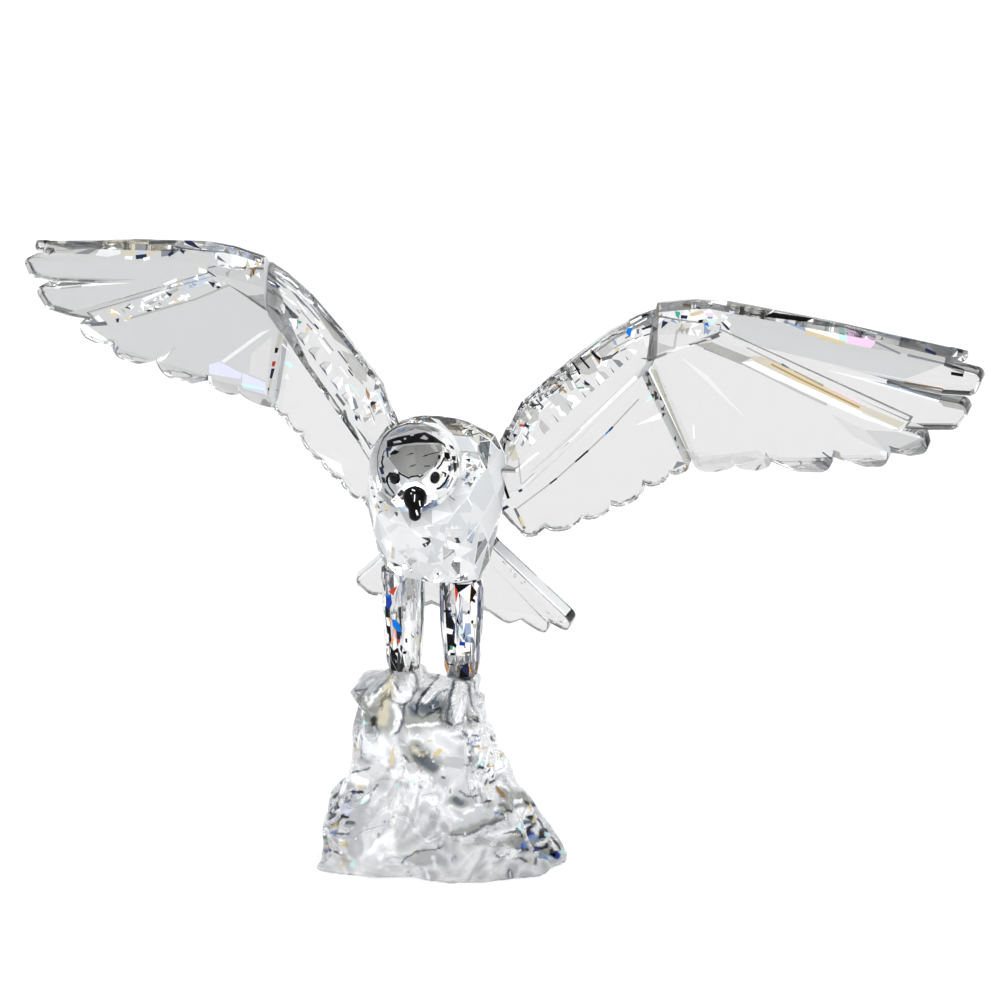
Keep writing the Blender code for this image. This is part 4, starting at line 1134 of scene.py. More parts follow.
HEAD_SHAPES = rows("""
white: -8.1,11.4 9.1,10.3 10.9,4.5 10.3,-1.5 7,-8 0.9,-9.7 -6.3,-8.5 -9.5,-3 -9.7,5.8
haze: -7.7,6.9 -5.9,9.3 -2.4,10.5 0.7,10.5 0.7,8.6 -2.4,8.2 -4.9,7.4 -7.3,6.4
steel: -4.9,9.8 -2.4,10.2 -2.6,8.9 -4.6,8.5
table: 0.7,10.5 5.2,10.7 7.7,9.6 6.7,8.3 3.7,8.9 0.7,8.6
grey: 0.7,10.4 6.3,10 9.2,6.8 8.8,5.4 5.8,7.4 3,8.7 0.6,8.5
table: -7.3,1.1 -5.5,2.9 -2.9,4.4 6,5 8.5,4 7.1,0 2.4,-3.6 0,-4.2 -1.8,-4.3 -4.6,-2.6
black: -7.7,6.4 -4.5,7.2 -2.9,4.9 -6.1,4.3 -7.7,4.3
black: -4.5,7.2 0.2,7.9 0.6,5.3 -2.9,4.9
black: 0.2,7.9 3.1,8.6 3.9,5.2 0.6,5.3
black: 3.1,8.6 5.8,7.2 6.4,5.3 3.9,5.2
black: 5.8,7.2 8.7,5.2 8.9,4.2 6.4,5.2
white: -6,5.8 -4,6.2 -3.6,5.5 -5.7,5.3
pale: 1.6,6.5 2.8,7.6 4,6.6 3.4,6.1
khaki: 6.4,5.5 8.3,5 8.5,4.4 6.9,4.6
white: -2.9,6.7 -2.2,6.8 -2.3,6.2 -2.9,6.2
white: -1.1,7.7 0.2,8.1 -0.1,7.4 -1,7.2
ink: -8,4.2 -6.1,4.3 -6.9,3 -8,3.4
black: -5.8,3.5 -3.1,2.4 -5.2,2.1 -7.3,0.9 -7.8,1.5 -6.4,2.7
black: -2.6,1.6 -0.6,2.5 0.2,2 -2.2,1.7
black: 2.2,1.4 3.3,1.9 3.9,1.6 2.5,1.3
black 0.25: 3.7,1.9 6.9,2.6
black: 6.7,1.9 7.4,1.7 7.2,0.6 6.6,0.7
black 0.45: 8.4,1.1 7.5,-0.7 6.3,-2.1
black 0.3: 6.4,-0.3 5.6,-1.7
black: 8.4,2.8 9.9,2.8 10.1,1.1 9.2,0.7 8.4,1.3
black: 10.5,1.9 11.7,2.2 11.6,0.7 10.6,0.9
black: 10.9,0 12,0.3 11.9,-1.8 11.2,-2.7
ink: 9.5,-0.9 10.3,-0.9 10.1,-2.6 9.5,-2.3
black: 9.7,5.3 10.9,5.1 11.4,4 10.2,4.3
steel: 7.7,-5.8 9.6,-4.7 8.9,-7.2 7.7,-8.1
black 0.3: 2.7,-1.4 4.3,-1.3
black 0.45: -4.6,-3 -3,-4 -1.6,-4.7 -0.9,-4.3 1,-4.1 1.4,-4.5 2.4,-3.8
slate: -1.7,-1.8 -0.8,-1 0.7,-0.7 0.1,-1.3
black 0.7: -4.9,-3.6 -6.9,-3.1 -7.7,-4.1 -7.8,-5.4
black 0.4: -7.8,-5.4 -7,-7 -5.8,-8.6
black: -5.5,-3.5 -4.5,-3.5 -4,-4.9 -4.6,-6.1 -5.2,-5.7
pale: -7.5,-4.4 -6.2,-4 -5.3,-6.3 -5.1,-8.4
black 0.5: 7.8,-2.9 8.8,-3.2 8.5,-4
black 0.55: 9.6,-3.6 8.5,-5.7 7,-7.2
black: 6.1,-7.2 7.7,-6.6 7,-7.8 6.3,-7.8
khaki: 6.6,-3.5 8.2,-3 7.5,-4.5 6.3,-4.8
ink 0.3: -9.1,1.4 -8.5,3.2 -7.4,3.6
ink: -10,-1.3 -9.1,-1 -8.4,-3.1 -9.3,-3.2
ink: -9.4,-3.7 -8.3,-4.3 -8.1,-5.8 -9,-5.3
slate 0.4: -8.4,-7.1 -7,-8.9 -5.2,-9.9
smoke: -8.6,-7.2 -7.7,-7.8 -7.3,-8.8 -8.3,-8.1
black 0.28: -10.4,1.6 -9.7,5 -8.3,7.9 -5.9,10.1 -2.6,11.6
black 0.5: -2.6,11.6 0.2,11.7 3,12
black 0.4: 3,12 6.3,11.8 8.7,10.1
black 0.22: 8.7,10.1 11,7.5 12.1,4.7 12.5,1.5 12.3,-1
ink 0.2: -10.4,1.6 -10.4,-1.7 -9.6,-5.4
slate 0.4: 8.2,-7.9 9.6,-6.4 10.8,-4.1
ink: 3.7,-11.7 4.6,-11.3 5.3,-11.6 4.4,-12
black 0.5: -8.7,7.4 -7.1,9.2 -4.9,10.6 -2.4,11.4 0.7,11.7 3.7,11.8
black 0.5: 3.7,11.8 6.8,11.2 9,9.7 10.8,7.7 11.9,5.1 12.3,2.2 12.3,-1
slate 0.3: -8.7,7.4 -9.7,5 -10.4,1.9 -10.3,-1.2
slate 0.3: -1.4,9.2 -0.1,9.6
smoke 0.3: 4.9,9.7 6.2,9.2
glint: -10,-8.3 -6.9,-10.2 -7.7,-11.3 -9.5,-10.8
glint: 3,-9.1 5.5,-8.5 6.5,-10 3.4,-11.4
milk: 6,-7.8 8.8,-6.9 10.1,-8.2 6.7,-9.7
aqua: -9.4,-8.3 -8.1,-9 -8.7,-9.6
black 0.5: 3.9,-11.9 4.7,-11.5
lilac 0.35: 4.7,-10.5 6.5,-10.6
black: -7.9,-3.8 -6.8,-3 -4.2,-3.5 -4.1,-4.8 -5,-4.3 -6.7,-4.2
black 0.5: -8.7,-1.5 -9.2,0.1 -8.7,1.8
ink 0.5: -7.7,4.1 -7.4,1.4
""")


# Patches of painted glints on the wings, and the painted pale wedge at the joint
ROOT_PATCH = ((-4, 16), (2, 14), (4, 22), (0, 27))
JOINT_PATCH = ("milk", 0, (20, 32), (48, 32), (48, 52), (20, 52))
JOINT_TOP = ((19, 17), (27, 17), (25, 32), (17, 32))
JOINT_FOOT = ((24, -4), (32, -4), (31, 12), (24, 12))
WRIST_PATCH = ((0, 11), (19, 11), (21, 17), (3, 16))
TIP_PATCH = ((78, -7), (83, -7), (82, -3), (77, -4))
RIGHT_BAND = ((59, -27), (15, -6.5), (8, -9.5), (45, -26))


def wing_piece(bm, side, part, planes, glass, seed, small, large, plates):
    """A half of the left wing, or the same half turned over for the right one."""
    name = f"wing_{'left' if side > 0 else 'right'}_{part}"
    fronts = [Vector((plane.front.x * side, plane.front.y, plane.front.z)) for plane in planes]
    return piece_from(bm.copy() if side > 0 else mirrored(bm), name + "_cut", name, glass,
                      feather_fire(seed, fronts, small, large, plates))


def dress_wings(glass):
    inner = tidy(joined(inner_wing(), [joint_side(1), body_room()], "DIFFERENCE"))
    outer = tidy(joined(outer_wing(), [joint_side(-1)], "DIFFERENCE"))
    # The sides differ in painted light: the right wing's inner facets get calmer painted tones and its outer
    # plates a darker painted grey
    for side in (1, -1):
        left = side > 0
        joint = [JOINT_PATCH, *sparks(75 + side, JOINT_TOP, 20, 2.0), *sparks(77 + side, JOINT_FOOT, 16, 1.4)]
        piece = wing_piece(inner, side, "inner", (INNER_PLANE, ARM_PLANE), glass, 41 + side,
                           LINE_FIRE if left else CALM_FIRE, 30.0, "plate")
        mark(piece, ARM_PLANE, streaks(61 + side, ARM_LEADING, 60, (0.4, 7.4)), side, ARM_REACH)
        mark(piece, ARM_PLANE, sparks(71 + side, ROOT_PATCH, 14, 1.5), side, ARM_REACH)
        mark(piece, ARM_PLANE, LEFT_ARM_SHAPES if left else RIGHT_ARM_SHAPES, side)
        mark(piece, INNER_PLANE, LEFT_INNER_SHAPES if left else RIGHT_INNER_SHAPES, side)
        mark(piece, JOINT_PLANE, joint, side, JOINT_REACH)
        piece = wing_piece(outer, side, "outer", (UPPER_PLANE, LOWER_PLANE, WRIST_PLANE), glass, 51 + side,
                           WING_FIRE, 60.0, "plate" if left else "haze")
        mark(piece, UPPER_PLANE, LEFT_UPPER_SHAPES if left else RIGHT_UPPER_SHAPES, side, UPPER_REACH)
        mark(piece, LOWER_PLANE, LEFT_LOWER_SHAPES if left else RIGHT_LOWER_SHAPES, side)
        mark(piece, WRIST_PLANE, sparks(81 + side, WRIST_PATCH, 34 if left else 14, 1.6), side)
        mark(piece, UPPER_PLANE, sparks(91 + side, TIP_PATCH, 10, 1.0), side)
        if left:
            mark(piece, WRIST_PLANE, LEFT_WRIST_SHAPES, side)
        else:
            mark(piece, UPPER_PLANE, sparks(97, RIGHT_BAND, 44, 1.7, BAND_FIRE), side, UPPER_REACH)
    inner.free()
    outer.free()


def hull_of(spots):
    """The convex gem that has the given corners."""
    bm = bmesh.new()
    for spot in spots:
        bm.verts.new(spot)
    bmesh.ops.convex_hull(bm, input=bm.verts)
    loose = [vert for vert in bm.verts if not vert.link_faces]
    bmesh.ops.delete(bm, geom=loose, context="VERTS")
    bmesh.ops.recalc_face_normals(bm, faces=bm.faces)
    return bm


HEAD_CENTRE = Vector((0, -10, 128.3)) * MM
HEAD_TURN = 28
TABLE_TILT = 26
HEAD_PLACE = Matrix.Translation(HEAD_CENTRE) @ Matrix.Rotation(math.radians(HEAD_TURN), 4, "Z")
HEAD_PLANE = Plane(HEAD_TURN, -TABLE_TILT, (0, -10, 35.3))
HEAD_BEVEL = 0.10 * MM
# Painted light tones for the head's facets
HEAD_FIRE = {"white": 70, "clear": 20, "pale": 10}
# Rings of facet corners: count, half width and half height, then a front ring's turn or a back ring's depth
TABLE_RING = (16, 7.4, 5.2)
TABLE_DEPTH = 11.35
FACE_RADIUS = 13.3
FACE_RINGS = [(18, 8.8, 6.7, 0.5), (18, 10.2, 8.4, 0.0), (19, 11.5, 10.2, 0.5), (18, 12.6, 11.9, 0.0)]
BACK_RINGS = [(16, 13.2, 13.0, 0.0), (14, 12.9, 12.6, -4.0), (11, 10.4, 10.2, -8.4), (7, 5.0, 5.0, -12.2)]
# The flat where the neck is glued: its direction and its distance above the legs
NECK = Vector((0, -0.8, 0.6))
NECK_AWAY = 23.4 * MM
# Flats under the eyes and the beak: (azimuth, elevation) from the face's middle, and distance from the head's
EYE_SEAT = (27, 2, 12.301 * MM)
BEAK_SEAT = (-17, 12.194 * MM)


def dress_head(glass):
    """The forehead table is a wide oval, ringed with small facets, with painted black and white flashes."""
    out = bearing(HEAD_TURN, TABLE_TILT)
    right = bearing(HEAD_TURN + 90, 0)
    up = bearing(HEAD_TURN + 180, 90 - TABLE_TILT)
    fire = Fire(22)

    def oval(count, wide, tall, place):
        around = 2 * math.pi * (place / count)
        return right * wide * math.cos(around) + up * tall * math.sin(around)
    spots = [oval(*TABLE_RING, index) + out * TABLE_DEPTH for index in range(TABLE_RING[0])]
    for *ring, turn in FACE_RINGS:
        for index in range(ring[0]):
            flat = oval(*ring, index + turn + fire.random.uniform(-0.12, 0.12))
            spots.append(flat + out * math.sqrt(max(0.0, FACE_RADIUS ** 2 - flat.length_squared)))
    for *ring, depth in BACK_RINGS:
        spots += [oval(*ring, index + 0.5) + out * depth for index in range(ring[0])]
    bm = hull_of([HEAD_CENTRE + spot * MM for spot in spots])
    cut(bm, Vector((0, 0, LEG_TOP_Z)) + NECK * (NECK_AWAY + GLUE_GAP), -NECK)
    for azimuth in (EYE_SEAT[0], -EYE_SEAT[0]):
        seat = bearing(HEAD_TURN + azimuth, EYE_SEAT[1])
        cut(bm, HEAD_CENTRE + seat * EYE_SEAT[2], seat)
    seat = bearing(HEAD_TURN, BEAK_SEAT[0])
    cut(bm, HEAD_CENTRE + seat * BEAK_SEAT[1], seat)
    tidy(bm)
    grind(bm, HEAD_BEVEL)
    piece = piece_from(bm, "head_cut", "head", glass, lambda face: fire.draw(HEAD_FIRE))
    mark(piece, HEAD_PLANE, HEAD_SHAPES, 1, HEAD_REACH)


# The beak's middle line: forward, up, half its width and its depth. A ridge runs along its top
BEAK_PATH = [(9.5, -4.0, 3.2, 2.5), (12.2, -4.3, 3.4, 2.7), (13.9, -5.0, 3.3, 2.6), (15.1, -6.3, 2.75, 2.3),
             (15.7, -7.4, 1.9, 1.9), (15.8, -8.9, 1.75, 1.6), (15.5, -9.9, 1.5, 1.2), (15.2, -10.5, 0.7, 0.6)]
BEAK_STEPS = 5
BEAK_SIDES = 20
BEAK_RIDGE = 0.10
BEAK_PLANE = Plane(26, -19, (7.4, -23.9, 35.3))
# Painted highlights and dark reflections on the black beak, in mm on BEAK_PLANE
BEAK_SHAPES = rows("""
glint 0.25: 0,-2.8 -0.1,-4.7
glint 0.32: 1.3,-4.5 1.5,-5.9
glint 0.5: 0.4,-7.2 0.8,-8.5
glint 0.42: 1.9,-6.5 1.8,-7.8
slate 0.4: 2.2,-8.3 2.6,-8.8
glint 0.35: -0.8,-1.4 0,-1.7
steel 0.3: 2.8,-3.8 2.6,-6
glint 0.25: -1.1,-2.3 -1,-2.6
slate 0.35: 1.1,-1.3 2.5,-2.3
""")


def smooth_path(path, steps):
    """A smooth run of places through those of a path."""
    fine = []
    last = len(path) - 1
    for index in range(last):
        a, b, c, d = (Vector(path[min(max(index + shift, 0), last)]) for shift in (-1, 0, 1, 2))
        for step in range(steps):
            t = step / steps
            fine.append(0.5 * (2 * b + (c - a) * t + (2 * a - 5 * b + 4 * c - d) * t * t
                               + (3 * b - a - 3 * c + d) * t ** 3))
    return fine + [Vector(path[-1])]


def dress_beak(glass):
    """The hooked beak, smooth and tapering, with a ridge along its top."""
    bm = bmesh.new()
    rings = []
    fine = smooth_path(BEAK_PATH, BEAK_STEPS)
    for index, (forward, rise, half, deep) in enumerate(fine):
        before, after = fine[max(index - 1, 0)], fine[min(index + 1, len(fine) - 1)]
        run = Vector((0, -(after[0] - before[0]), after[1] - before[1])).normalized()
        over = Vector((1, 0, 0)).cross(run)
        ring = []
        for side in range(BEAK_SIDES):
            around = 2 * math.pi * side / BEAK_SIDES
            ridge = 1.0 + BEAK_RIDGE * max(0.0, math.cos(around)) ** 8
            spot = Vector((half * math.sin(around), -forward, rise)) + over * -deep * ridge * math.cos(around)
            ring.append(bm.verts.new(spot * MM))
        rings.append(ring)
    for low, high in chain(rings):
        for side in range(BEAK_SIDES):
            after = (side + 1) % BEAK_SIDES
            bm.faces.new((low[side], low[after], high[after], high[side]))
    bm.faces.new(rings[0])
    bm.faces.new(rings[-1])
    bmesh.ops.recalc_face_normals(bm, faces=bm.faces)
    seat = bearing(0, BEAK_SEAT[0])
    cut(bm, seat * (BEAK_SEAT[1] + GLUE_GAP), -seat)
    bm.transform(HEAD_PLACE)
    piece = piece_from(bm, "beak_smooth", "beak", glass, lambda face: tint("black"))
    smooth(piece)
    # Painted highlights on the beak's own black
    mark(piece, BEAK_PLANE, BEAK_SHAPES, 1, LIMB_REACH)


# An eye's half sizes in mm, and how far its middle sits inside its flat
EYE_SIZE = (1.6, 1.6, 1.84)
EYE_SUNK = 0.4 * MM


def dress_eyes(black):
    """Two domed oval stones."""
    size = Matrix.Diagonal((*(half * MM for half in EYE_SIZE), 1))
    for name, azimuth in (("eye_left", EYE_SEAT[0]), ("eye_right", -EYE_SEAT[0])):
        normal = bearing(azimuth, EYE_SEAT[1])
        seat = EYE_SEAT[2] + GLUE_GAP
        bm = bmesh.new()
        bmesh.ops.create_uvsphere(bm, u_segments=28, v_segments=16, radius=1.0)
        bm.transform(Matrix.Translation(normal * (seat - EYE_SUNK)) @ size)
        cut(bm, normal * seat, -normal)
        bm.transform(HEAD_PLACE)
        smooth(piece_from(bm, name + "_dome", name, black, lambda face: 0.0))


def smooth(piece):
    """Smooth shading, with sharp edges kept crisp."""
    mesh = piece.data
    mesh.polygons.foreach_set("use_smooth", [True] * len(mesh.polygons))
    mesh.set_sharp_from_angle(angle=CRISP)


# Tail: one half, mirrored at the middle, as in the solids
TAIL_PLANE = Plane(-15.8, 28.8, (0, 17, 4))
TAIL_THICK = 3.6
TAIL_OUTLINE = [
    (-12.0, 16.0, 0), (-12.0, -30.0, 0), (-1.6, -32.6, 2.4), (3.4, -36.4, 3.0), (11.5, -31.0, 0),
    (18.8, -36.2, 3.2), (24.1, -26.9, 0), (30.2, -29.8, 2.8), (35.2, -22.4, 3.0), (14.8, 2.0, 0),
    (9.0, 16.0, 0),
]
TAIL_GROOVES = [((11.5, -31.6), (5.5, -7.0)), ((24.1, -27.4), (10.5, -6.5))]
# Patches of painted glints on the tail: seed, corners, how many and how large
TAIL_PATCHES = [
    (33, ((23, -29), (33, -29), (35, -23), (26, -21)), 16, 1.1),
    (34, ((14, -1), (18, -3), (24, -12), (20, -12)), 12, 1.0),
]


def dress_tail(glass):
    fan = plate(TAIL_OUTLINE, TAIL_THICK, 0.6)
    slope(fan, (-2, -38), (38, -30), 8.0, 1.0)
    fan.transform(TAIL_PLANE.matrix())
    fan = joined(fan, [grooves(TAIL_GROOVES, TAIL_PLANE, 0.5)], "DIFFERENCE")
    cut(fan, Vector(), Vector((-1, 0, 0)))
    other = mirrored(fan)
    mesh = bpy.data.meshes.new("half")
    other.to_mesh(mesh)
    other.free()
    fan.from_mesh(mesh)
    bpy.data.meshes.remove(mesh)
    seam = [face for face in fan.faces
            if abs(face.normal.x) > 0.999 and abs(face.calc_center_median().x) < 1e-6]
    bmesh.ops.delete(fan, geom=seam, context="FACES")
    bmesh.ops.remove_doubles(fan, verts=fan.verts, dist=WELD)
    fan = tidy(joined(fan, [body_room()], "DIFFERENCE"))
    front = TAIL_PLANE.front
    fire = feather_fire(31, [front, Vector((-front.x, front.y, front.z))])
    piece = piece_from(fan, "tail_cut", "tail", glass, fire)
    for patch in TAIL_PATCHES:
        mark(piece, TAIL_PLANE, sparks(*patch))


BODY_PLANE = Plane(26, -19, (0, 0, 25))
# Painted pale mosaic, glints and dark lines on the neck and chest, in mm on BODY_PLANE, in place of the light
# seen through the crystal
COLLAR_SHAPES = rows("""
khaki: 1.7,21 8.7,19.7 10.8,15.7 6.5,16.2
dove: 6.5,16.2 10.8,15.7 13.5,10.8 8.7,11.4
stone: 8.7,19.7 14.1,17.3 14.1,13 10.8,15.7
haze: 8.1,11.4 13.5,10.8 15.1,6.5 8.7,8.1
dove: -0.5,21.5 2.2,20.8 6.5,16.2 3.3,18.3
fog: 13.5,13 17.3,10.3 16.2,6 13.5,10.8
chalk: 8.1,8.1 14.1,6.4 10.8,1.2 7.6,2.8
slate 0.3: 6.5,16.2 10.8,15.7 14.1,16.7
ash 0.3: 8.7,11.4 13.5,10.8 16.2,8.1
chalk: -16.6,-3.7 -11.7,-8.5 -13.3,-2.6
milk: -11.7,-8.5 -9,-5.3 -13.3,-2.6
glint: -11.7,-8.5 -5.8,-10.7 -9,-5.3
chalk: -5.8,-10.7 -4.2,-5.8 -9,-5.3
milk: -5.8,-10.7 0.6,-9.6 -4.2,-5.8
chalk: 0.6,-9.6 0.6,-5.3 -4.2,-5.8
glint: 0.6,-9.6 6.5,-6.4 0.6,-5.3
milk: 6.5,-6.4 4.9,-2.1 0.6,-5.3
chalk: 6.5,-6.4 11.9,-0.5 4.9,-2.1
milk: 11.9,-0.5 8.1,3.3 4.9,-2.1
chalk: 11.9,-0.5 14.1,8.7 8.1,3.3
glint: 14.1,8.7 9.2,10.3 8.1,3.3
chalk: -17.9,8.7 -16.6,-3.7 -15.5,2.2
milk: -16.6,-3.7 -13.3,-2.6 -15.5,2.2
gold: -13.3,-4.4 -12.2,-4.2 -12.3,-5.7 -13.1,-5.7
aqua: -10.5,-6 -9.2,-6.2 -9.5,-7.5
slate 0.3: -13.5,0 -12.1,-1.8 -10.2,-2.6
ash 0.3: -1.2,-4.4 1.9,-3.4 5,-1.6
slate 0.3: 5.3,0.5 5.6,-1.6 7.1,-2.6
glint: 4.8,-13.8 8.2,-15.4 7.9,-16.7 5.3,-16.6
glint: -13.5,-14 -11.3,-14.5 -11.4,-17.8 -13,-16.7
khaki: -11.3,-16 -10.3,-16.6 -10.7,-19.8 -11.6,-19.3
black: -11.3,-20.7 -8.9,-21.6 -10.7,-21.9
milk: -7.4,-10.7 -0.5,-14.4 -5.8,-16.6
dove: 0.1,-16.6 3.3,-20.3 -1,-20.9
chalk: -3.1,-20.3 1.7,-21.4 -0.5,-25.2 -3.7,-23.6
mist: 10.8,-10.7 13,-11.7 11.9,-15 10.6,-14.4
""")
# Patches of painted glints on the body: the corners of each, and its tints
BODY_PATCHES = [
    (((-6, 20), (1, 20), (1, 22), (-6, 22)), RAINBOW),
    (((-16, 19), (-9, 19), (-9, 22), (-15, 23)), SPARK_FIRE),
    (((9.5, 1), (13.3, 3), (13, 10), (9.2, 12)), SPARK_FIRE),
    (((9.7, 16), (13.3, 15), (13.3, 18.6), (9.7, 18.9)), SPARK_FIRE),
    (((-9.6, 21.7), (0.1, 21.7), (0.1, 19.7), (-9.6, 19.7)), RAINBOW),
    (((-18.7, 1.2), (-12.8, 1.2), (-12.8, -6.9), (-18.7, -6.9)), RAINBOW),
    (((9.2, 10.3), (15.1, 10.3), (15.1, 0.6), (9.2, 0.6)), RAINBOW),
]
CHEST_PATCH = ((-15, -12), (15, -6), (9, -27), (-10, -27))
BODY_BEVEL = 0.18 * MM
FACET_AREA = 8 * MM * MM


def dress_body(glass):
    """The crown's facets are see-through with painted tones, and the chest's are a painted pale mosaic."""
    bm = facets_of("body")
    grind(bm, BODY_BEVEL)
    fire = Fire(3)

    def choose(face):
        # The neck's glued flat is painted an opaque pale, in place of the light seen there
        if face.normal.dot(NECK) > 0.999:
            return tint("milk")
        wide = face.calc_area() > FACET_AREA
        if wide and face.normal.z > 0.55:
            return fire.draw(CROWN_FIRE)
        if face.normal.dot(BODY_PLANE.front) > 0.3:
            return fire.draw(CHEST_FIRE if wide else BELLY_FIRE)
        return fire.draw(BODY_FIRE if wide else EDGE_FIRE)
    piece = piece_from(bm, "body_cut", "body", glass, choose)
    chest = sparks(107, CHEST_PATCH, 44, 4.4, CHEST_FIRE)
    mark(piece, BODY_PLANE, chest + COLLAR_SHAPES, 1, BODY_REACH)
    for index, (patch, shares) in enumerate(BODY_PATCHES):
        mark(piece, BODY_PLANE, sparks(101 + index, patch, 16, 1.1, shares), 1, BODY_REACH)


# Rings of the legs' facet corners: share of the height, radius in mm and count
LEG_RINGS = [(0.0, 4.9, 9), (0.09, 5.25, 8), (0.18, 5.55, 9), (0.28, 5.82, 8), (0.38, 6.05, 9),
             (0.48, 6.22, 8), (0.58, 6.35, 9), (0.68, 6.44, 8), (0.79, 6.48, 9), (0.90, 6.44, 8),
             (1.0, 6.3, 9)]
# Each leg's name, place across, ankle height and seed
LEGS = [("leg_left", 9.7, 63.0, 12), ("leg_right", -9.7, 61.2, 17)]
LEG_BEVEL = 0.08 * MM
LEG_PLANE = Plane(26, -19, (0, 0, -16))
# Painted reflections, highlights and fire on the legs' facets, in mm on LEG_PLANE
LEFT_LEG_SHAPES = rows("""
plate: 2.9,15 6.8,14.1 6.8,9.6 3.7,9
ash: 4,15 6,15 6.3,10.7 4.8,11
glint: 8.1,13.1 11.6,13.7 12.1,10.7 9.7,9.8 8.5,10.7
black: 6.4,14 7.3,13.9 7.5,10.7 7.1,7.9 5.6,10.2
black: 12.3,14.7 13.1,14.6 13.1,11.3 11.9,11.4
black: 8.5,9.9 9.9,9 12.5,10.7 12.8,6.2 10.8,7.3
steel: 4.3,9.6 5.7,10.5 6.3,8.5 4.8,7.3
glint: 7.5,8.2 9.9,7.9 9.1,5.9 7.1,5.6
pink: 8.5,7.6 9.7,7.6 9.4,6.2 8.2,6.2
black: 3.3,8.5 4,8.5 4,7.1 3.4,7.1
black: 3.6,4.1 6,4.1 5.7,3.4 3.7,3.4
slate: 4,6.8 6,7.3 5.7,5.1 4.3,4.8
clear: 9.9,6.8 12.5,6.2 12.5,3.4 10.5,4.5
black: 8.4,4.2 9.5,3.9 9.4,2.7 8.5,3
black: 10.4,4.2 11.2,3.9 11.1,2.8 10.4,3.2
black: 4,0.3 5.4,2.3 6.4,0.3 6.3,-1.3
black: 6.5,3.2 7.1,3.2 8.2,0.3 7.7,0
steel: 8.5,0.3 11.4,0.3 11.6,-2.8 9.4,-4 8,-1.7
aqua: 8,-1.1 9.4,-0.9 9.4,-2.6 8.2,-2.8
glint: 4,-1.1 6.3,-1.7 6,-3.1 4.3,-2.8
moss: 11.9,0 13.1,0 12.9,-1.4 12.1,-1.1
black: 11.6,1.1 12.3,1.1 12.1,0 11.5,0.3
black: 4.6,-4.4 6,-4.5 7.3,-6.2 7.1,-7.1 5.7,-6.4
teal: 5.3,-6.5 6.3,-6.5 6.1,-7.7 5.4,-7.8
navy: 8.2,-5.1 9.9,-5.4 9.7,-6.5 8,-6.2
steel: 8,-2.8 12.2,-4 12.5,-5.7 9.9,-5.4
glint: 7.1,-7.1 9.9,-7.1 10.8,-8.2 7.7,-8.5
black: 5.4,-8.6 6.8,-8.6 6.8,-9.6 5.3,-9.5
gold: 8.5,-8.5 11.6,-8.2 11.4,-8.9 8.8,-9.1
brown: 10.2,-8.2 11.6,-8.2 11.4,-8.6 10.1,-8.6
haze: 4.3,-9.4 12.5,-9.4 12.5,-11.6 4.3,-11.6
black: 4.3,-11.8 6.5,-12 6.5,-12.5 4.3,-12.2
black: 8.2,-12.2 10.5,-12.2 9.9,-12.6 8.2,-12.6
""")
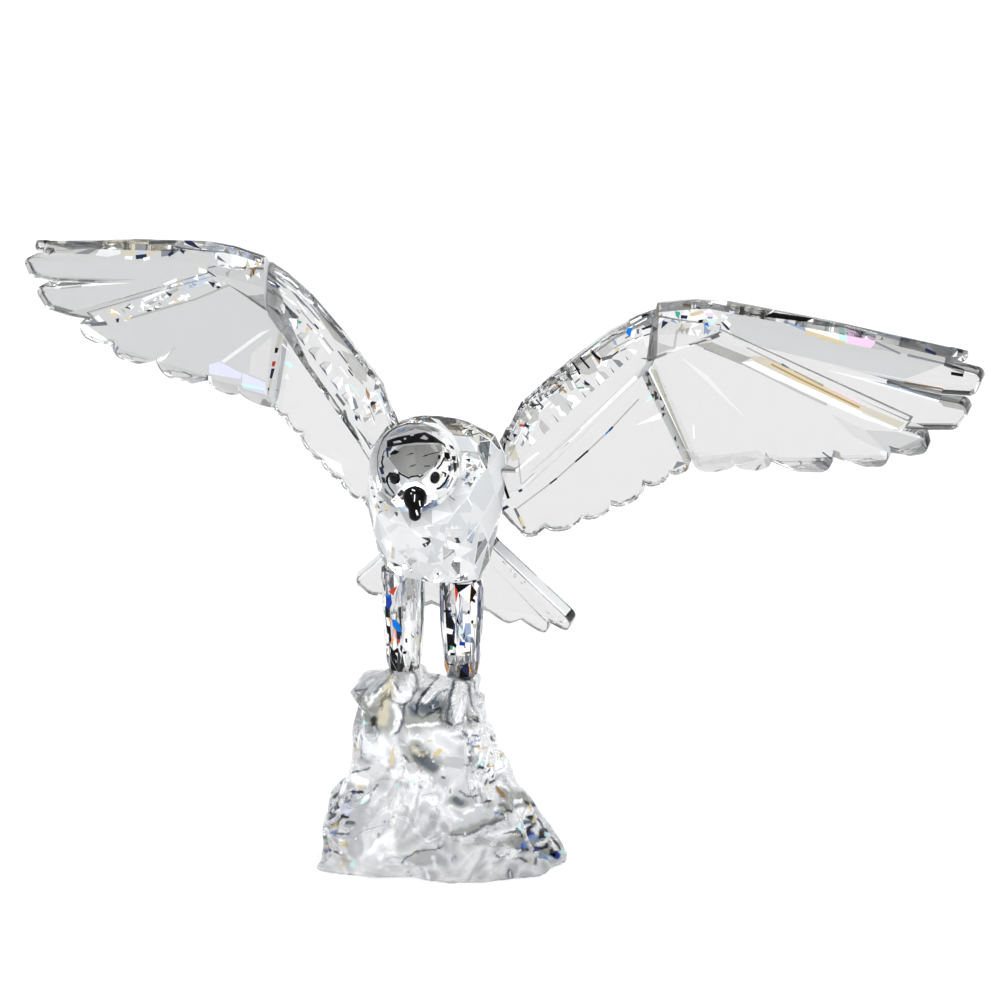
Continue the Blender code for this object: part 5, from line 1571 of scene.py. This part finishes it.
RIGHT_LEG_SHAPES = rows("""
pale: -16.8,14.7 -14.1,15 -14.3,12 -16.5,12
black: -14.9,16.2 -14.4,16.1 -14.5,15.3 -14.9,15.3
black: -11.9,17.9 -9.5,16.6 -11.5,16.9
black: -13.7,17.9 -12.9,17.4 -13.3,17.1
black: -13.5,14.7 -12.9,14 -13.4,14
slate: -15.3,14.7 -14.9,14.7 -14.9,10.3 -15.3,10.3
gold: -14.5,12.8 -13.6,12.8 -13.7,11.3 -14.4,11.3
black: -15.6,10.2 -14.7,9.1 -15.3,8.2 -15.7,8.8
slate: -16.7,11.3 -16.3,11.1 -15.9,7.9 -16.3,7.6
red: -9.9,11.2 -11.4,8.1 -12.9,9.2
navy: -13.5,8.5 -12.1,8 -11.8,5.7 -12.6,3.9 -13.5,4.2
blue: -13.5,8.6 -12.6,8.4 -12.7,7.4 -13.5,7.6
glint: -15.1,7.9 -13.7,7.6 -13.7,4.7 -14.7,5.7
red: -15.8,5.9 -15.3,6 -14.8,4.7 -14.9,3.9
ink: -14.9,6.1 -14.1,4.4 -14.2,3.7 -14.8,4.2
steel: -15.6,3.7 -13.8,3.7 -14.1,2.7 -15.3,2.7
black: -15.5,2.5 -14.5,1.7 -13.8,-0.5 -14.3,-6.1 -15.1,-2.4
aqua: -14.5,2.2 -13.7,1.5 -13.7,0.3 -14.2,0.3
glint: -13.7,1.5 -12.6,1.2 -12.6,-1.2 -13.5,-1.2
amber: -13.3,1.2 -12.4,1.2 -12,-0.5 -12.4,-0.2
blue: -12,1 -10.7,0.8 -8.9,-1.5 -9.2,-2.9 -10.7,-2.4 -11.8,-1
ink: -10.8,-2.4 -9.2,-2.9 -9.5,-5.1 -10.2,-5.1
aqua: -9.7,-0.5 -8.6,-1.2 -8.9,-2.4 -9.2,-1.9
black: -13.8,-0.7 -12.4,-1.5 -12.2,-5.6 -12.9,-6.4 -13.3,-3.7
glint: -13.6,-3.2 -13,-3.7 -13.1,-6.1 -13.5,-5.4
pink: -12,-1.9 -11.3,-2.4 -11,-5.1 -11.9,-5.1
red: -10.5,-4.9 -9.5,-5.1 -9.8,-6.4 -10.3,-5.9
black: -14.6,-6.1 -12.6,-6.8 -14.1,-7.6
black: -14.3,-7.3 -13.5,-8.3 -13.8,-9.3 -14.2,-8.8
black: -12,-8.8 -10.4,-7.6 -9.9,-8.8 -10.9,-9.3
ink: -9.5,-6.6 -8.8,-7.3 -9.1,-9.3 -9.7,-8.1
black: -8.9,-8.8 -7.7,-8.6 -7.8,-9.5 -8.9,-9.5
black: -8.1,-4.8 -7.5,-4.8 -7.5,-6.1 -8,-6.1
slate: -4.9,-2.9 -4.3,-2.7 -4,-3.7 -4.6,-3.7
slate: -6.7,-3.2 -5.3,-4.4 -5.7,-4.8
khaki: -4.3,-4.2 -2.8,-4.2 -2.8,-6.6 -4.8,-6.6
black: -13.8,-9.8 -13.2,-10 -13.3,-11 -13.7,-10.8
slate: -11.9,-10.8 -10.4,-11.8 -10.9,-12.4
white: -11.4,6.1 -9.2,6.4 -8.9,4.7 -11.1,4.2
glint: -8.2,0.3 -4.3,0.8 -5.3,-2.7 -7.7,-2.7
haze: -7.7,14 -4.3,13.5 -4.3,9.1 -7.5,6.6
slate: -6.6,-11.9 -5.5,-12 -5.7,-12.5 -6.5,-12.5
""")


def dress_legs(glass):
    """Slim columns cut in uneven triangles with painted fire. The right one's inner half gets calmer painted
    tones.
    """
    for name, x, ankle, seed in LEGS:
        fire = Fire(seed)
        length = LEG_TOP_Z / MM - ankle
        spots = []
        for turn, (share, radius, sides) in enumerate(LEG_RINGS):
            ends = share in (0.0, 1.0)
            for index in range(sides):
                around = 2 * math.pi * (index + 0.5 * (turn % 2) + fire.random.uniform(-0.2, 0.2)) / sides
                height = share + (0.0 if ends else fire.random.uniform(-0.02, 0.02))
                spot = Vector((radius * math.cos(around), radius * math.sin(around), height * length))
                spots.append((spot + Vector((x, 0, ankle))) * MM)
        bm = hull_of(spots)
        tidy(bm)
        grind(bm, LEG_BEVEL)

        def choose(face):
            calm = x < 0 and face.normal.dot(bearing(-70, 0)) < 0.35
            return fire.draw(CALM_FIRE if calm else LEG_FIRE)
        piece = piece_from(bm, name + "_cut", name, glass, choose)
        mark(piece, LEG_PLANE, LEFT_LEG_SHAPES if x > 0 else RIGHT_LEG_SHAPES, 1, LIMB_REACH)


# Toes on the rock, as the ankle's place and the claws' tips, in mm
TOES = [((9.7, 0, 58.4), [(3.0, -14.0, 54.6), (14.0, -16.4, 53.4), (21.5, -9.5, 53.0)]),
        ((-9.7, 0, 56.6), [(-23.4, -8.6, 52.0), (-15.8, -14.6, 52.0), (-4.6, -12.0, 56.6)])]
TOE_RADII = (3.4, 3.4, 3.57, 2.92, 1.7)
TOE_ARCH = Vector((0, 0, 1.6))

# Painted shade and painted glints on the rock's front, measured on the photograph. Each row is a tint, the
# stroke's width, how soft it is, and the points along it
ROCK_PLANE = Plane(26, -19, (0, -9, -63))
ROCK_STROKES = rows("""
fog 15 1: -16.9,-13.4 -11.7,-24.9
ash 9.7 0.8: -19.2,22.4 -11.7,18.3
haze 5.2 0.3: -18.6,27 -10.6,31.6
ash 7.5 0.9: -3.6,18.3 7.9,21.2
slate 3.4 1: -1.3,21.8 5.6,23.5
clear 7.5 0.8: 20,13.7 26.3,5.6
white 0.8 0.8: -4.8,16 0.6,16.9 5.6,17.7
white 0.9 0.8: 7.3,13.7 12.7,15
white 3.7 0.5: -22.7,1 -16.9,-0.1 -11.1,3.9
white 1.9 0.8: -8.2,1 1,1.6
fog 7.5 0.7: 9.6,4.5 10.8,3.3
pale 6.9 0.5: -13.4,9.1 -12.9,10.3
ash 5.4 0.7: -1.3,9.1 3.3,4.5
slate 3.2 0.6: -0.6,7.4 3.2,4.4
khaki 2.1 0.7: -2.1,9.1 -0.8,8.5
gold 1.3 0.8: 4.4,8.2 5.9,9.1
ash 3.4 0.5: 10.2,-5.9 13.1,-7.3
slate 1.7 0.6: 11.1,-5.6 12.5,-7
haze 2.2 0.9: 13.7,-10.8 19.4,-9.3 22.3,-7.6
haze 3.4 1: 10.8,-14.6 15.1,-13.2 19.4,-11 24.6,-9.4
ash 1.8 0.9: 10.4,-16.4 14.8,-15.4 19.4,-12.9 25.2,-11
white 0.8 0.5: 13.9,-10.2 16.2,-9.6
white 0.9 0.5: 17.4,-8.2 19,-7.7
black 0.6 0.4: 20.2,-6.4 22.4,-6.1
black 0.6 0.4: 24.2,-7.6 26.6,-7.4
white 0.9 0.5: 22.6,-8.6 25,-8.3
blue 0.5 0.5: 22.9,-9.8 23.6,-9.4
slate 0.7 0.5: 9.6,-17.1 13.7,-16.8 19.4,-13.9 24,-11.9
ash 3.2 0.5: 25.2,-8.8 33.2,-7.9
black 0.5 0.5: 24,-9.9 28.6,-9.1 31.2,-7.6
ash 3.7 0.6: 26.9,-4.7 33.2,-7
plate 4 0.3: 28.1,-11.6 30.9,-13.4
slate 0.6 0.4: 25.2,-16.3 28.6,-15.4 32.1,-15.4
ash 4.6 0.5: 28.4,-19.1 31.6,-20.1
ash 4.2 0.5: 35.5,-19.7 37.9,-22.6
black 1.4 0.4: 32.7,-18.3 33.9,-15.4
black 1.1 0.4: 30.4,-21.7 32.7,-22.3
blue 0.9 0.5: 31.2,-21 31.5,-20.6
aqua 0.8 0.5: 33,-19.7 32.4,-20.6
black 0.7 0.4: 31.2,-7 34.1,-9.6 35.8,-12.5 38.4,-16.8 40.7,-20.6 43.6,-24.9
smoke 1.5 0.6: 36.1,-13.9 38.4,-16.8
navy 1.6 0.5: 40.4,-23.5 41.9,-24.9
aqua 1 0.5: 38.4,-25.5 39.6,-24.9
slate 0.5 0.4: 22.3,-22 23.7,-24.3 26.6,-23.5
slate 1.7 0.4: 27,-28.6 27.1,-29.8
plate 0.7 0.5: 27,-28.6 27.1,-29.8
smoke 0.5 0.4: -5.4,-26.3 -3.6,-23.2 -1.9,-21.3 1.6,-21.4 4.4,-21.2 6.7,-18.6 8.5,-16.8
slate 0.3 0.4: -3.6,-28.6 -1.3,-31.4
haze 0.8 1: -16.3,-28.6 -1.3,-32.1 13.7,-33 28.6,-31.8 44.2,-27.2
navy 1.4 0.4: -20.8,-6.5 -20.2,-4.4
black 0.9 0.4: -19.5,-3.9 -17.2,-4.2
gold 0.7 0.5: -18.6,-2.4 -16.9,-2.5
aqua 0.8 0.5: -16,-4.7 -16.6,-7.6
lilac 2.6 0.8: -20.9,-9.3 -20.6,-11.6
slate 1 0.5: -23.2,-13.9 -18.6,-13.7
black 0.7 0.4: -22.9,-17.1 -19.2,-16.8
smoke 1.9 0.3: -27,-18.6 -26.8,-19.7
aqua 1 0.5: -27,-18.6 -26.8,-19.7
slate 1.5 0.4: -27.5,-24.6 -27.3,-25.2
white 0.7 0.5: -27.5,-24.6 -27.3,-25.2
gold 0.5 0.5: -27.8,-20.9 -25.5,-21.4
slate 0.5 0.5: -28.9,-16.3 -28.4,-11.6 -26.7,-6.5 -24.4,-2.4
gold 0.8 0.6: -22.1,-23.2 -19.8,-24.9
slate 0.6 0.4: -20.6,1.5 -17.5,2.6 -14.5,3.6
slate 0.8 0.5: -14.1,-3.7 -12.6,-1.8
black 2.3 0.3: -14,17.6 -13.9,16
white 1 0.5: -14,15.3 -13.8,15.2
white 0.9 0.5: -16.3,24.7 -15.2,22.4 -13.4,25.8
slate 2.4 0.4: -20.5,13.8 -20.3,13.4
plate 1.1 0.5: -20.5,13.8 -20.3,13.4
gold 0.8 0.6: -20.3,10.3 -20.8,6.8
navy 0.8 0.6: -21.8,7.4 -21.2,9.1
slate 0.7 0.5: -13.4,25.8 -8.2,31.9
ash 1.7 0.6: -12.3,21.8 -10,28.1
khaki 3.1 0.7: -8.5,29.8 -10.6,22.4 -11.1,17.2
white 1.6 0.4: -7.1,22.4 -6.5,18.3 -8.2,13.7
white 1 0.5: -8.2,29.6 -5.4,24.9
smoke 0.6 0.5: -7.3,29 -5.5,26.3
slate 0.9 0.6: -4.2,22.9 -5.9,17.2 -7.7,13.7
gold 0.9 0.6: -7.7,9.1 -8.5,4.5
smoke 0.6 0.5: -5.4,7.4 -3.6,5.6
white 2.3 0.4: 1.6,24.7 4.4,27.5 7.3,30.4
smoke 0.6 0.4: -0.8,22.9 1,26.1 6.7,31.6
slate 0.6 0.4: -0.2,20.9 3.9,24.1 8.2,28.1
smoke 0.9 0.5: -1.2,22.9 -1,21.2
white 3.7 0.4: 12.2,30.4 11.5,25.2 12.5,20
slate 1.4 0.5: 10.2,29.8 8.9,24.1 8.5,18.6
smoke 1.4 0.4: 8.2,18.6 9.7,17.9
ash 1.7 0.5: 15.1,29.3 16.8,24.1 18,19.5
smoke 0.5 0.4: 14.1,30.4 16.2,27 18,22.4
black 0.7 0.4: 16,19.8 18.5,17.6 18,19.5
white 1.1 0.5: 16.8,22.4 17.7,21.2
slate 0.9 0.5: 11.9,31.5 16.2,31.6
slate 0.9 0.5: 13.1,15.1 15.1,13.6
white 2.5 0.8: 18.8,9.1 21.7,3.9
gold 0.9 0.6: 18.5,9.8 20.9,10
aqua 0.9 0.5: 25.2,8.2 25.6,6.2
brown 1.3 0.5: 26.1,-3 26.7,-4.7
smoke 0.5 0.4: 12.4,-2.9 14.1,-4.6 17.1,-4.8 18.8,-3.9
slate 0.5 0.4: 14.2,4.5 16.8,5.6 16.5,9.1
white 1.4 0.5: -5.9,-3.6 -7.1,-8.2 -8.2,-13.1
white 0.8 0.5: -10.6,-4.7 -10.6,-9.3
clear 0.8 0.6: -1.3,-4.7 -3.6,-10.5 -4.8,-15.1
haze 0.9 0.8: -0.2,-3.6 -1.3,-10.5 -5.4,-17.4
white 0.7 0.6: 3.9,-4.7 4.7,-9.3
clear 0.9 0.6: 1,-10.5 -1.3,-15.1
haze 1.1 0.8: -3.6,-2.4 -7.1,-1.3
white 0.8 0.5: 7.9,-16.8 5.6,-19.7
white 1.5 0.4: 13.1,-29.8 16,-24.9 18,-20.6
haze 0.9 0.7: 14.8,-30.1 17.4,-25.5 19.1,-21.4
white 1 0.5: 3.9,-23.7 4.7,-26.9
white 0.8 0.5: 1.6,-27.2 2.6,-30.4
white 0.8 0.5: 21,-24.9 21.4,-29.2
""")


# Where the sides stand out or in, in the rock's plane: height, spread, where it starts and is full, how far
ROCK_SWELLS = [(-15.0, 8.5, -13.0, -24.0, -3.6), (-1.5, 4.5, 17.0, 28.0, -3.6), (24.0, 6.0, 13.0, 20.0, -2.6)]
# The seed of the rock's noise, which otherwise differs from run to run
ROCK_SEED = 7
VOXEL = 0.58 * MM
# The first smoothing turns take in the toes too, which start at their height. The foot's rim isn't smoothed
SMOOTH_TURNS = 26
TOE_TURNS = 8
TOE_HEIGHT = 49 * MM
RIM_HEIGHT = 1.2 * MM
# How deep the broad and the middle hollows are, in mm, and their share on the back
BROAD_DEPTH = 1.5
MIDDLE_DEPTH = 0.4
BACK_SHARE = 0.35
# The groove beside a toe: its place and spread as shares of the toe's radius, and its depth in mm
GROOVE_PLACE = 1.3
GROOVE_SPREAD = 0.3
GROOVE_DEPTH = 4.0
# How much painted shade darkens troughs and the grooves beside the toes, and painted highlight lightens
# crests
TROUGH_PAINTED_SHADE = 28.0
CREST_PAINTED_HIGHLIGHT = 44.0
GROOVE_PAINTED_SHADE = 0.35
# The rock's last grade: contrast round a grey, the grey that it becomes, and a cooler hue
CONTRAST = 1.5
GREY_BEFORE = 202
GREY_AFTER = 208
COOL = (-2.0, 0.0, 2.0)
# A distance in mm beyond any stroke's reach
FAR = 99.0


def beside(spots, path, radii):
    """Each spot's distance from a path, as a share of the path's radius there."""
    nearest = np.full(len(spots), FAR)
    for (start, end), (low, high) in zip(chain(path), chain(radii)):
        start, run = np.array(start), np.array(end) - np.array(start)
        share = np.clip((spots - start) @ run / (run @ run), 0.0, 1.0)
        away = np.linalg.norm(spots - start - share[:, None] * run, axis=1)
        nearest = np.minimum(nearest, away / (low + (high - low) * share))
    return nearest


def eased(values, low, high):
    share = np.clip((values - low) / (high - low), 0.0, 1.0)
    return share * share * (3 - 2 * share)


def toe_shares(spots):
    """Each spot's distance from the nearest toe, as a share of the toe's radius."""
    nearest = np.full(len(spots), FAR)
    for root, tips in TOES:
        for tip in tips:
            root, tip = Vector(root), Vector(tip)
            knuckle = root.lerp(tip, 0.55) + TOE_ARCH
            path = [root, root.lerp(knuckle, 0.6) + 0.4 * TOE_ARCH, knuckle, knuckle.lerp(tip, 0.6), tip]
            nearest = np.minimum(nearest, beside(spots, path, TOE_RADII))
    return nearest


# Patches of random painted glints on the rock: the corners of each, how many and how large
ROCK_PATCHES = [
    (((-29, -10.5), (-20.9, -2.4), (-18.6, -26.6), (-29, -27.2)), 50, 1.1),
    (((29, -7.6), (34.3, -7.6), (44.8, -26), (29.7, -26.6)), 64, 1.3),
    (((15.1, 13.7), (22.7, 14.3), (29, -2.4), (18.6, -3.6)), 44, 0.9),
    (((-20.8, 25.2), (-16.9, 25.8), (-16.9, 5.6), (-22, 4.5)), 18, 0.8),
    (((-8.1, 14.9), (8.1, 16), (10.5, -4.7), (-8.1, -2.4)), 34, 0.6),
    (((-18, -12), (24, -14), (26, -29), (-18, -29)), 24, 0.6),
]
ROCK_FIRE = {"white": 44, "black": 14, "ink": 8, "steel": 8, "slate": 10, "aqua": 6, "gold": 7, "brown": 2,
             "navy": 2, "lilac": 3}


def rock_glints():
    """Random small painted glints in the rock's patches, as strokes."""
    fire = Fire(95)
    for patch, count, size in ROCK_PATCHES:
        for index in range(count):
            spot = fire.spot(patch)
            around = fire.random.uniform(0, math.pi)
            reach = Vector((math.cos(around), math.sin(around))) * size * fire.random.uniform(0.2, 1.0)
            name = fire.pick(ROCK_FIRE)
            yield name, size * fire.random.uniform(0.5, 1.1), 0.35, tuple(spot - reach), tuple(spot + reach)


def rock_shades(spots, shifts, facing, toes, ripple_shade):
    """Each spot's screen colour: pale grey with painted ripple shade and highlights, and painted strokes over
    it.
    """
    calm = np.array(TINTS_AND_PAINTED_LIGHT["plate"])
    trough_shade, crest_highlight = eased(-ripple_shade, -0.6, 0.7), eased(ripple_shade, 0.82, 0.94)
    shades = calm - TROUGH_PAINTED_SHADE * trough_shade[:, None] + CREST_PAINTED_HIGHLIGHT * crest_highlight[:, None]
    view = np.array([ROCK_PLANE.across, ROCK_PLANE.up])
    flat = (spots + shifts - np.array(ROCK_PLANE.origin / MM)) @ view.T
    for name, width, soft, *points in [*ROCK_STROKES, *rock_glints()]:
        away = beside(flat, points, [width / 2] * len(points))
        cover = 1 - eased(away, 1 - 0.7 * soft, 1 + 0.7 * soft)
        shades += cover[:, None] * (np.array(TINTS_AND_PAINTED_LIGHT[name]) - shades)
    # Painted shade in the grooves beside the toes
    groove = (1 - eased(np.abs(toes - 1.28), 0.04, 0.2)) * eased(spots[:, 2], 49.0, 52.0)
    shades *= 1 - GROOVE_PAINTED_SHADE * groove[:, None]
    shades = GREY_AFTER + CONTRAST * (shades - GREY_BEFORE) + np.array(COOL)
    seen = eased(facing, 0.0, 0.2)[:, None]
    return np.clip(seen * shades + (1 - seen) * np.array(TINTS_AND_PAINTED_LIGHT["clear"]), 0, 255)


def folds(place, scale, shift, sharp):
    """Long creases: 1 along them, and less beside them."""
    return 1.0 - abs(noise.noise(place * scale + Vector(shift))) * sharp


def rock_move(vert, toe, broad, middle):
    """How far a spot moves: into the hollows, into the grooves beside the toes, and with the swells."""
    spot = vert.co / MM
    front = 1.0 if vert.normal.dot(bearing(28, 0)) > 0 else BACK_SHARE
    depth = front * (BROAD_DEPTH * (broad - 1.0) + MIDDLE_DEPTH * (middle - 1.0))
    fade = min(1.0, max(0.0, (spot.z - 0.8) / 3.0)) * min(1.0, max(0.15, (54 - spot.z) / 6.0))
    if spot.z > 50:
        depth -= GROOVE_DEPTH * max(0.0, 1 - abs(toe - GROOVE_PLACE) / GROOVE_SPREAD)
    move = vert.normal * depth * fade
    flat = spot - ROCK_PLANE.origin / MM
    lean, rise = flat.dot(ROCK_PLANE.across), flat.dot(ROCK_PLANE.up)
    for centre, span, inner, outer, push in ROCK_SWELLS:
        share = min(1.0, max(0.0, (lean - inner) / (outer - inner)))
        bulge = math.exp(-((rise - centre) / span) ** 2)
        move += ROCK_PLANE.across * push * share * bulge * min(1.0, spot.z / 5)
    return move * MM


def dress_rock(glass):
    noise.seed_set(ROCK_SEED)
    bm = bmesh.new()
    bm.from_mesh(NODES["rock_base"].data)
    bmesh.ops.remove_doubles(bm, verts=bm.verts, dist=WELD)
    rough = solid(bm)
    remesh = rough.modifiers.new("remesh", "REMESH")
    remesh.mode = "VOXEL"
    remesh.voxel_size = VOXEL
    bm = baked(rough, weld=0)
    for turn in range(SMOOTH_TURNS):
        free = [vert for vert in bm.verts
                if vert.co.z > RIM_HEIGHT and (turn < TOE_TURNS or vert.co.z < TOE_HEIGHT)]
        bmesh.ops.smooth_vert(bm, verts=free, factor=0.5, use_axis_x=True, use_axis_y=True, use_axis_z=True)
    bm.normal_update()
    bm.verts.index_update()
    spots = np.array([vert.co / MM for vert in bm.verts])
    toes = toe_shares(spots)
    moves, shifts, ripple_shade = [], [], []
    for vert, toe in zip(bm.verts, toes):
        spot = vert.co / MM
        shifts.append(noise.noise_vector(spot * 0.35) * 0.7)
        warped = spot + noise.noise_vector(spot * 0.05) * 9.0
        broad = folds(warped, 0.05, (3.1, 0.2, 5.5), 2.4)
        middle = folds(warped, 0.11, (9.4, 2.2, 1.5), 2.2)
        # The finest folds only paint ripple shade; they don't move the surface
        ripple_shade.append(folds(warped, 0.2, (1.4, 7.2, 3.5), 3.2))
        moves.append(rock_move(vert, toe, broad, middle))
    for vert, move in zip(bm.verts, moves):
        vert.co += move
    facing = np.array([vert.normal for vert in bm.verts]) @ np.array(ROCK_PLANE.front)
    shades = rock_shades(spots, np.array(shifts), facing, toes, np.array(ripple_shade))
    colours = np.ones((len(spots), 4))
    colours[:, :3] = glass_tone(shades)
    piece = piece_from(bm, "rock_hewn", "rock_base", glass, lambda face: 0.5)
    piece.data.polygons.foreach_set("use_smooth", [True] * len(piece.data.polygons))
    piece.data.attributes.new("shade", "FLOAT_COLOR", "POINT").data.foreach_set("color", colours.ravel())


def main():
    scene = bpy.context.scene
    scene.view_settings.view_transform = "Standard"
    scene.cycles.max_bounces = 18
    scene.cycles.transmission_bounces = 18
    scene.cycles.glossy_bounces = 10
    scene.cycles.diffuse_bounces = 1
    place_camera()
    light_studio()
    lay_floor()
    glass = crystal()
    black = black_glass()
    for name, node in NODES.items():
        node.data.materials.clear()
        node.data.materials.append(black if name in ("beak", "eye_left", "eye_right") else glass)
    dress_body(glass)
    dress_head(glass)
    dress_beak(glass)
    dress_eyes(black)
    dress_tail(glass)
    dress_legs(glass)
    dress_rock(rock_crystal())
    dress_wings(glass)


main()

boxes = {"cad": CAD_BOX, "visual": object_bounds()}
{name: [list(corner) for corner in box] for name, box in boxes.items()}
